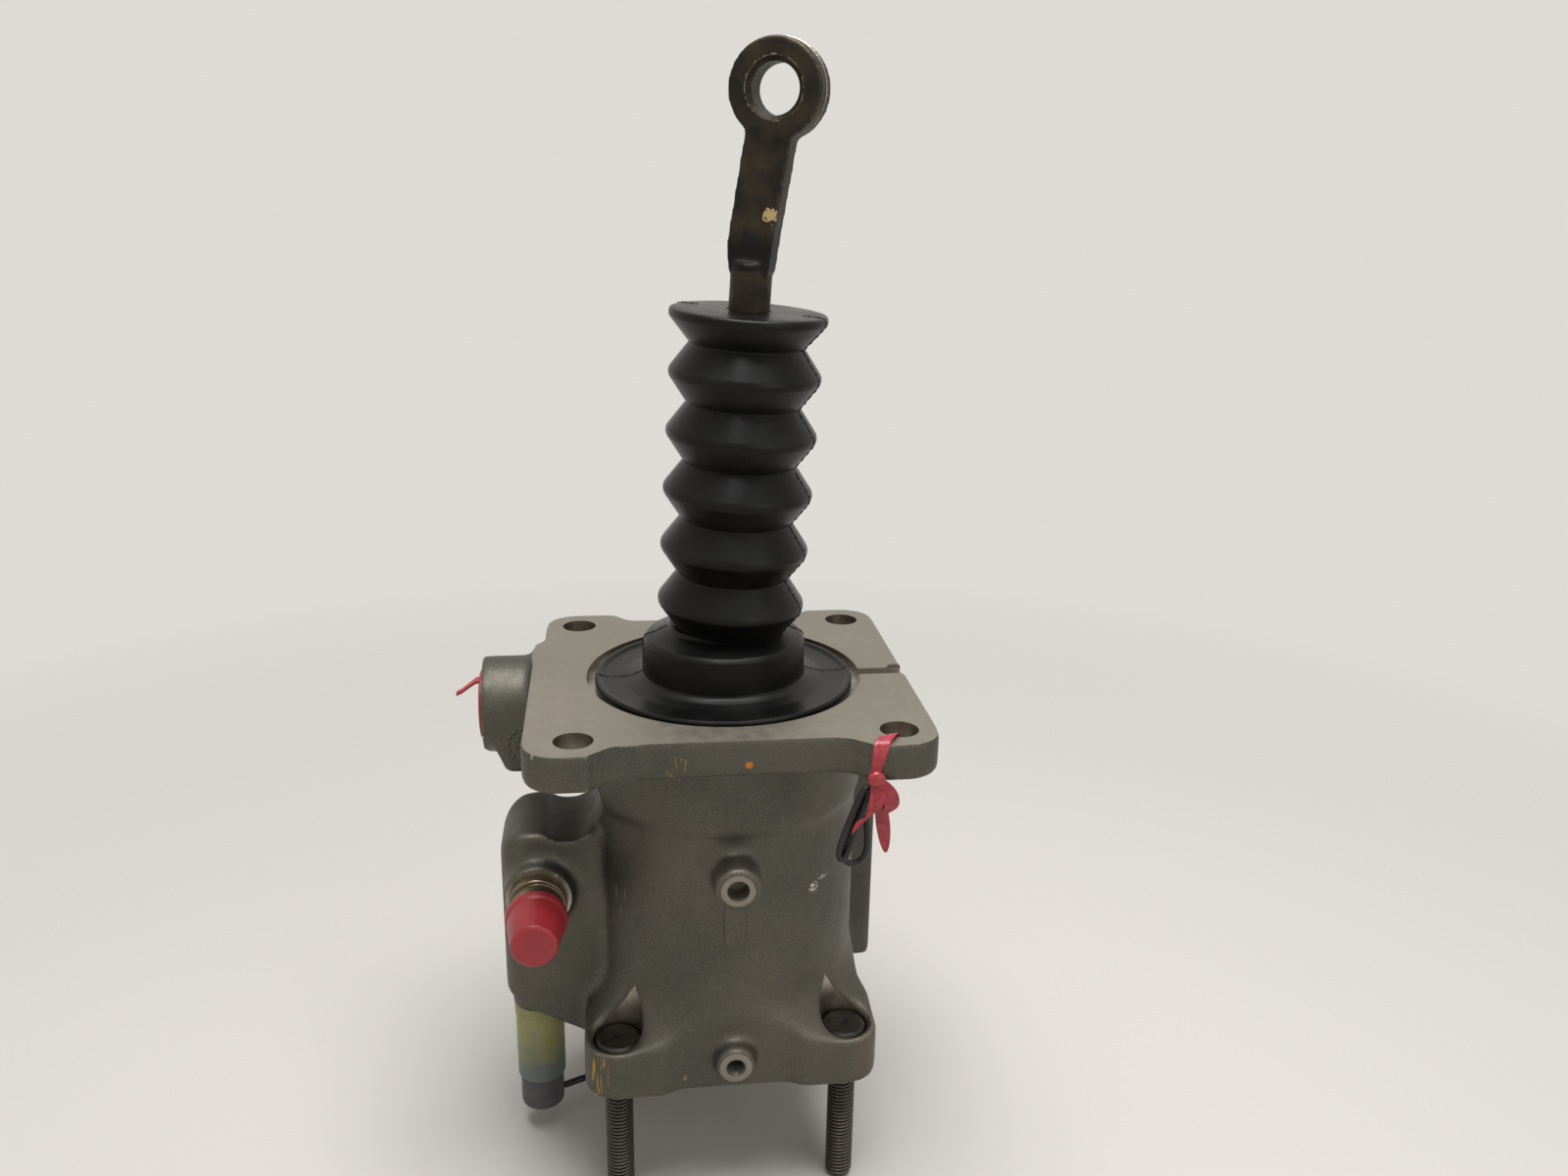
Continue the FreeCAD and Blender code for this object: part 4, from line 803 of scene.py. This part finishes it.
# Flash where the forging dies met, trimmed to a thin bright line round the eye
outline = [(math.cos(math.radians(turn)), math.sin(math.radians(turn))) for turn in range(90, -40, -3)]
trimmings = bmesh.new()
for side in (-1, 1):
    stations = [(lean @ (Vector((eye_offset + side * eye_radius * out_x, 0, eye_height + eye_radius * out_z))
                         * mm) / mm, lean.to_3x3() @ Vector((side * out_x, 0, out_z)))
                for out_x, out_z in outline]
    sweep_flash(trimmings, stations, 0.35, 0.3)
trim_steel = metal("trimmed_forging_edge", "#6f675a", "#948b7b", 0.4, 0.6 * mm, 0.03 * mm)
rod_flash = from_bmesh("push_rod_flash", trimmings, [trim_steel])
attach(rod_flash, "push_rod")
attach(push_rod, "push_rod")
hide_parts("push_rod")


# Pressure port: a zinc plated steel fitting screwed into the lobe on a washer, closed by a red
# polyethylene cap that is pushed over its nose. The cap has a wide rim and a tapered body.
plated = metal("zinc_plated_steel", "#6b6050", "#857861", 0.38, 0.5 * mm, 0.02 * mm)
port_place = towards(*ports["pressure"][:2])
fitting = turned("pressure_fitting_turned", [
    (5.0, -14), (7.6, -14, 0.3), (8.0, -13, 0.2), (8.0, 1.2), (9.8, 1.2, 0.3), (10.3, 1.7, 0.3),
    (10.3, 4.7, 0.4), (9.9, 5.2, 0.3), (8.9, 5.3, 0.3), (8.9, 7.3, 0.3), (9.6, 7.5, 0.3),
    (9.6, 11.2, 0.4), (9.0, 11.7, 0.3), (9.0, 15.2, 0.4), (6.0, 27.7, 0.4), (5.0, 27.7, 0.3),
], plated, port_place, closed=True)
washer = nodes["fitting_washer"]
washer.data.materials.clear()
washer.data.materials.append(plated)
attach(fitting, "housing")
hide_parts("pressure_fitting")

red_cap = soft_plastic("red_polyethylene", "#93242a", "#a52c33", 0.4, 0.9 * mm, 0.04 * mm)
red_cap.node_tree.nodes["Principled BSDF"].inputs["Subsurface Weight"].default_value = 0.12
red_cap.node_tree.nodes["Principled BSDF"].inputs["Subsurface Radius"].default_value = (0.9, 0.2, 0.15)
red_cap.node_tree.nodes["Principled BSDF"].inputs["Subsurface Scale"].default_value = 2 * mm
cap_foot = 12.6
cap = turned("pressure_cap_moulded", [
    (9.35, cap_foot, 0.4), (10.8, cap_foot, 0.4), (10.9, cap_foot + 0.9, 0.4),
    (10.6, cap_foot + 2.6, 0.8), (9.9, cap_foot + 3.4, 0.8), (9.3, cap_foot + 8.5, 2),
    (7.9, cap_foot + 17.6, 0.9), (6.9, cap_foot + 18.4, 0.8), (0, cap_foot + 18.45),
    (0, cap_foot + 16.8), (6.3, cap_foot + 16.8, 0.5), (9.3, cap_foot + 3.4, 0.5),
], red_cap, port_place, closed=False)
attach(cap, "pressure_cap")
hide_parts("pressure_cap")


# Return plug: a soft red plastic plug in the return port, with a thin pull tab on its rim.
plug_place = towards(*ports["return"][:2])
plug_form = bmesh.new()
turn_profile(plug_form, rounded([
    (0, -12), (9.6, -12, 0.8), (10.9, -10, 0.5), (10.9, 0), (12.9, 0, 0.4), (12.9, 1.4, 0.6),
    (9.0, 1.4, 0.5), (8.2, 0.2, 0.5), (0, 0.2)]), around=72, place=plug_place)
tab_line = [(-89.2, 130.6), (-91.0, 130.4), (-93.5, 128.6), (-96.4, 126.4), (-98.4, 125.4)]
tab_near, tab_wide, tab_thick = 24.0, 4.6, 1.2
rows = []
for number, (x, z) in enumerate(tab_line):
    wide = tab_wide * (1 - 0.12 * number)
    corners = [(x, tab_near + side * wide / 2, z + up * tab_thick / 2)
               for side, up in ((-1, -1), (1, -1), (1, 1), (-1, 1))]
    rows.append([plug_form.verts.new(Vector(corner) * mm) for corner in corners])
join_rings(plug_form, rows)
plug = from_bmesh("return_plug_moulded", plug_form, [red_cap])
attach(plug, "return_plug")
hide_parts("return_plug")


# Pressure switch: screwed up into the lobe. A milky yellow nylon sleeve covers its body, stained
# grey towards the foot, and a grey moulded cap closes it where the lead comes out.
milky, tree, shader, where = finish_of("milky_yellow_nylon")
height = node(tree, "SeparateXYZ", {"Vector": where}).outputs["Z"]
mottle = node(tree, "TexNoise", {"Vector": where, "Scale": 1 / (6 * mm), "Detail": 5.0})
wander = node(tree, "Math", {0: height, 1: spread(
    tree, mottle.outputs["Fac"], 0.3, 0.7, -7 * mm, 7 * mm)}, operation="ADD")
clean = spread(tree, wander.outputs["Value"], -20 * mm, -4 * mm)
yellow = shade(tree, spread(tree, mottle.outputs["Fac"], 0.4, 0.62),
               colour("#96955f"), colour("#8b8845"))
sleeve_bump = node(tree, "Bump", {
    "Height": mottle.outputs["Fac"], "Strength": 0.2, "Distance": 0.2 * mm})
wire(tree, shader, {
    "Base Color": shade(tree, clean, colour("#626a67"), yellow), "Roughness": 0.42, "IOR": 1.53,
    "Subsurface Weight": 0.3, "Subsurface Radius": (1.0, 0.9, 0.5), "Subsurface Scale": 2 * mm,
    "Normal": sleeve_bump.outputs["Normal"]})
switch_place = Matrix.Translation((-71 * mm, 0, 0))
sleeve = turned("switch_sleeve_moulded", [
    (8.1, -25), (9.1, -25, 0.4), (9.15, -23.4, 0.3), (9.2, 2.6, 0.3), (9.5, 3.2, 0.3),
    (9.5, 8, 0.3), (8.1, 8),
], milky, switch_place, closed=True)
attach(sleeve, "housing")
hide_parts("switch_sleeve")

switch_grey = soft_plastic("grey_mauve_nylon", "#424144", "#504e51", 0.5, 0.7 * mm, 0.05 * mm)
end_cap = turned("switch_end_moulded", [
    (0, -39.5), (6.2, -39.5, 0.4), (8.2, -37.9, 1.4), (8.25, -34.6, 0.3), (7.95, -34.3, 0.2),
    (8.25, -34.0, 0.3), (8.25, -26.2, 0.4), (7.8, -25, 0.4), (0, -25),
], switch_grey, switch_place)
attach(end_cap, "housing")
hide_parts("switch_end")


# Spare seal ring and its tape: a thin black rubber ring, folded into hanging loops and tied to
# the front right hole with a strip of glossy pink red plastic tape.


def tube(name, centres, radius, material, closed=True):
    """A round cord through given centres, as a smooth mesh."""
    line = bpy.data.curves.new(name, "CURVE")
    line.dimensions = "3D"
    line.bevel_depth = radius * mm
    line.bevel_resolution = 3
    line.resolution_u = 8
    line.use_fill_caps = not closed
    loop = line.splines.new("NURBS")
    loop.points.add(len(centres) - 1)
    for point, centre in zip(loop.points, centres):
        point.co = (*(Vector(centre) * mm), 1.0)
    loop.order_u = 3
    loop.use_cyclic_u = closed
    loop.use_endpoint_u = not closed
    line.materials.append(material)
    return link(bpy.data.objects.new(name, line))


hung_loops = {
    "front": [(40.6, -67.6, 126.0), (37.6, -68.2, 121), (34.4, -68.4, 112), (32.0, -68.4, 104.6),
              (31.8, -68.4, 100.6), (33.4, -68.4, 99.6), (35.2, -68.4, 103), (37.6, -68.2, 112),
              (41.4, -67.6, 123)],
    "back": [(41.2, -66.0, 126.0), (40.4, -66, 119), (41.4, -66, 110), (41.9, -66, 103),
             (40.8, -66, 98.6), (37.8, -66, 96.6), (34.6, -66.2, 97.6), (33.2, -66.2, 101),
             (35.6, -66, 110), (39.4, -66, 120)],
}
loops = [tube(f"seal_ring_{name}", centres, 1.05, nitrile) for name, centres in hung_loops.items()]
for piece in loops:
    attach(piece, "housing")
    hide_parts("spare_seal_ring")

tape_red, tree, shader, where = finish_of("glossy_pvc_tape")
wrinkles = node(tree, "TexNoise", {"Vector": where, "Scale": 1 / (2.2 * mm), "Detail": 4.0})
wrinkle_bump = node(tree, "Bump", {
    "Height": wrinkles.outputs["Fac"], "Strength": 0.5, "Distance": 0.3 * mm})
wire(tree, shader, {
    "Base Color": shade(tree, spread(tree, wrinkles.outputs["Fac"], 0.35, 0.65),
                        colour("#8f1f29"), colour("#ad3541")),
    "Roughness": 0.26, "IOR": 1.52, "Normal": wrinkle_bump.outputs["Normal"]})


def strip(form, stations, thick=0.35, broad=1.2):
    """A bent strip of tape. Each station is its middle and about half its width as a vector, in mm."""
    rows = []
    for number, (middle, half) in enumerate(stations):
        middle, half = Vector(middle), Vector(half) * broad
        before = Vector(stations[max(0, number - 1)][0])
        after = Vector(stations[min(len(stations) - 1, number + 1)][0])
        out = (after - before).cross(half).normalized() * thick / 2
        corners = (middle - half - out, middle + half - out, middle + half + out, middle - half + out)
        rows.append([form.verts.new(corner * mm) for corner in corners])
    join_rings(form, rows)


tape = bmesh.new()
strip(tape, [
    ((49.6, -61.6, 128.5), (2.4, 0.9, 0)), ((49.5, -61.6, 134), (2.5, 0.9, 0)),
    ((49.4, -61.7, 139.6), (2.6, 0.9, 0)), ((48.9, -62.3, 141.4), (2.7, 0.8, 0)),
    ((47.4, -64.2, 141.8), (2.8, 0.6, 0)), ((45.2, -67.6, 141.2), (2.7, 0.4, 0)),
    ((44.2, -69.4, 139.2), (2.4, 0.2, 0.3)), ((43.6, -70.0, 136.0), (2.1, 0, 0.3)),
    ((42.9, -70.4, 132.8), (1.8, 0, 0.3)), ((42.4, -70.8, 130.4), (1.5, 0, 0.3)),
])
strip(tape, [
    ((42.8, -71.2, 129.0), (1.8, 0, 0.3)), ((43.4, -71.9, 125.2), (2.5, 0.2, 0.3)),
    ((43.2, -72.2, 121.4), (2.7, 0.3, 0.8)), ((41.8, -72.4, 118.0), (2.5, 0.2, 1.6)),
    ((39.2, -72.4, 115.4), (2.0, 0, 2.2)), ((36.6, -72.2, 113.6), (1.2, 0, 2.4)),
    ((35.4, -72.0, 112.8), (0.6, 0, 2.2)),
])
strip(tape, [
    ((43.8, -71.0, 128.8), (1.1, 0, 1.1)), ((45.6, -71.4, 126.6), (1.4, 0.2, 1.4)),
    ((47.6, -71.2, 123.8), (1.9, 0.3, 1.5)), ((48.4, -70.8, 120.6), (2.3, 0.3, 1.2)),
    ((48.2, -70.4, 117.2), (2.5, 0.2, 1.0)),
])
strip(tape, [
    ((43.6, -69.8, 127.0), (1.4, 0, 0)), ((45.0, -69.0, 119.0), (1.9, 0, 0.4)),
    ((46.2, -68.4, 112.0), (2.2, 0, 0.5)), ((47.2, -68.0, 105.4), (1.7, 0, 0.4)),
    ((47.8, -67.8, 101.0), (0.5, 0, 0.2)),
])
bmesh.ops.create_uvsphere(tape, u_segments=20, v_segments=12, radius=3.0 * mm,
                          matrix=Matrix.Translation(Vector((42.8, -71.0, 129.6)) * mm)
                          @ Matrix.Diagonal((1.0, 0.62, 0.9, 1)))
tie_tape = from_bmesh("tie_tape_strips", tape, [tape_red])
fine = tie_tape.modifiers.new("fine", "SUBSURF")
fine.levels = fine.render_levels = 2
bake_modifiers(tie_tape)
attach(tie_tape, "housing")
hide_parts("tie_tape")


# Floor and light: a plain pale floor that fades into the same pale backdrop, a soft lamp above
# and a weak one from the front right. The camera and reflections see the backdrop at full strength.
backdrop = colour("#dedbd6")
floor_level = cad_box[0][2]
floor = bmesh.new()
bmesh.ops.create_grid(floor, x_segments=1, y_segments=1, size=6.0,
                      matrix=Matrix.Translation((0, 0, floor_level)))
pale, tree, shader, where = finish_of("pale_floor_paper")
wire(tree, shader, {"Base Color": colour("#cfccc7"), "Roughness": 0.9, "Specular IOR Level": 0.2})
flat = node(tree, "VectorMath", {0: where}, operation="LENGTH").outputs["Value"]
rays = node(tree, "LightPath")
seen = node(tree, "Math", {0: rays.outputs["Is Camera Ray"], 1: rays.outputs["Is Glossy Ray"]},
            operation="MAXIMUM")
faded = node(tree, "Math", {0: seen.outputs["Value"], 1: spread(tree, flat, 0.22, 0.75)},
             operation="MULTIPLY")
glow = node(tree, "Emission", {"Color": backdrop, "Strength": 1.0})
mixed = node(tree, "MixShader", {
    0: faded.outputs["Value"], 1: shader.outputs["BSDF"], 2: glow.outputs["Emission"]})
wire(tree, tree.nodes["Material Output"], {"Surface": mixed.outputs["Shader"]})
from_bmesh("floor", floor, [pale])

world = bpy.data.worlds.new("room")
bpy.context.scene.world = world
world.use_nodes = True
room = world.node_tree
rays = node(room, "LightPath")
seen = node(room, "Math", {0: rays.outputs["Is Camera Ray"], 1: rays.outputs["Is Glossy Ray"]},
            operation="MAXIMUM")
seen = node(room, "Math", {0: seen.outputs["Value"], 1: rays.outputs["Is Transmission Ray"]},
            operation="MAXIMUM")
strength = spread(room, seen.outputs["Value"], 0.0, 1.0, 0.42, 1.0)
wire(room, room.nodes["Background"], {"Color": backdrop, "Strength": strength})

lamps = (("lamp_above", (0.05, -0.12, 1.2), 0.8, 17.0), ("lamp_front", (0.7, -1.0, 0.6), 0.9, 2.0))
for name, spot, breadth, power in lamps:
    lamp = bpy.data.lights.new(name, "AREA")
    lamp.size = breadth
    lamp.energy = power
    held = link(bpy.data.objects.new(name, lamp))
    held.location = spot
    held.rotation_euler = (Vector((0, 0, 0.12)) - Vector(spot)).to_track_quat("-Z", "Y").to_euler()

bpy.context.scene.view_settings.view_transform = "Standard"
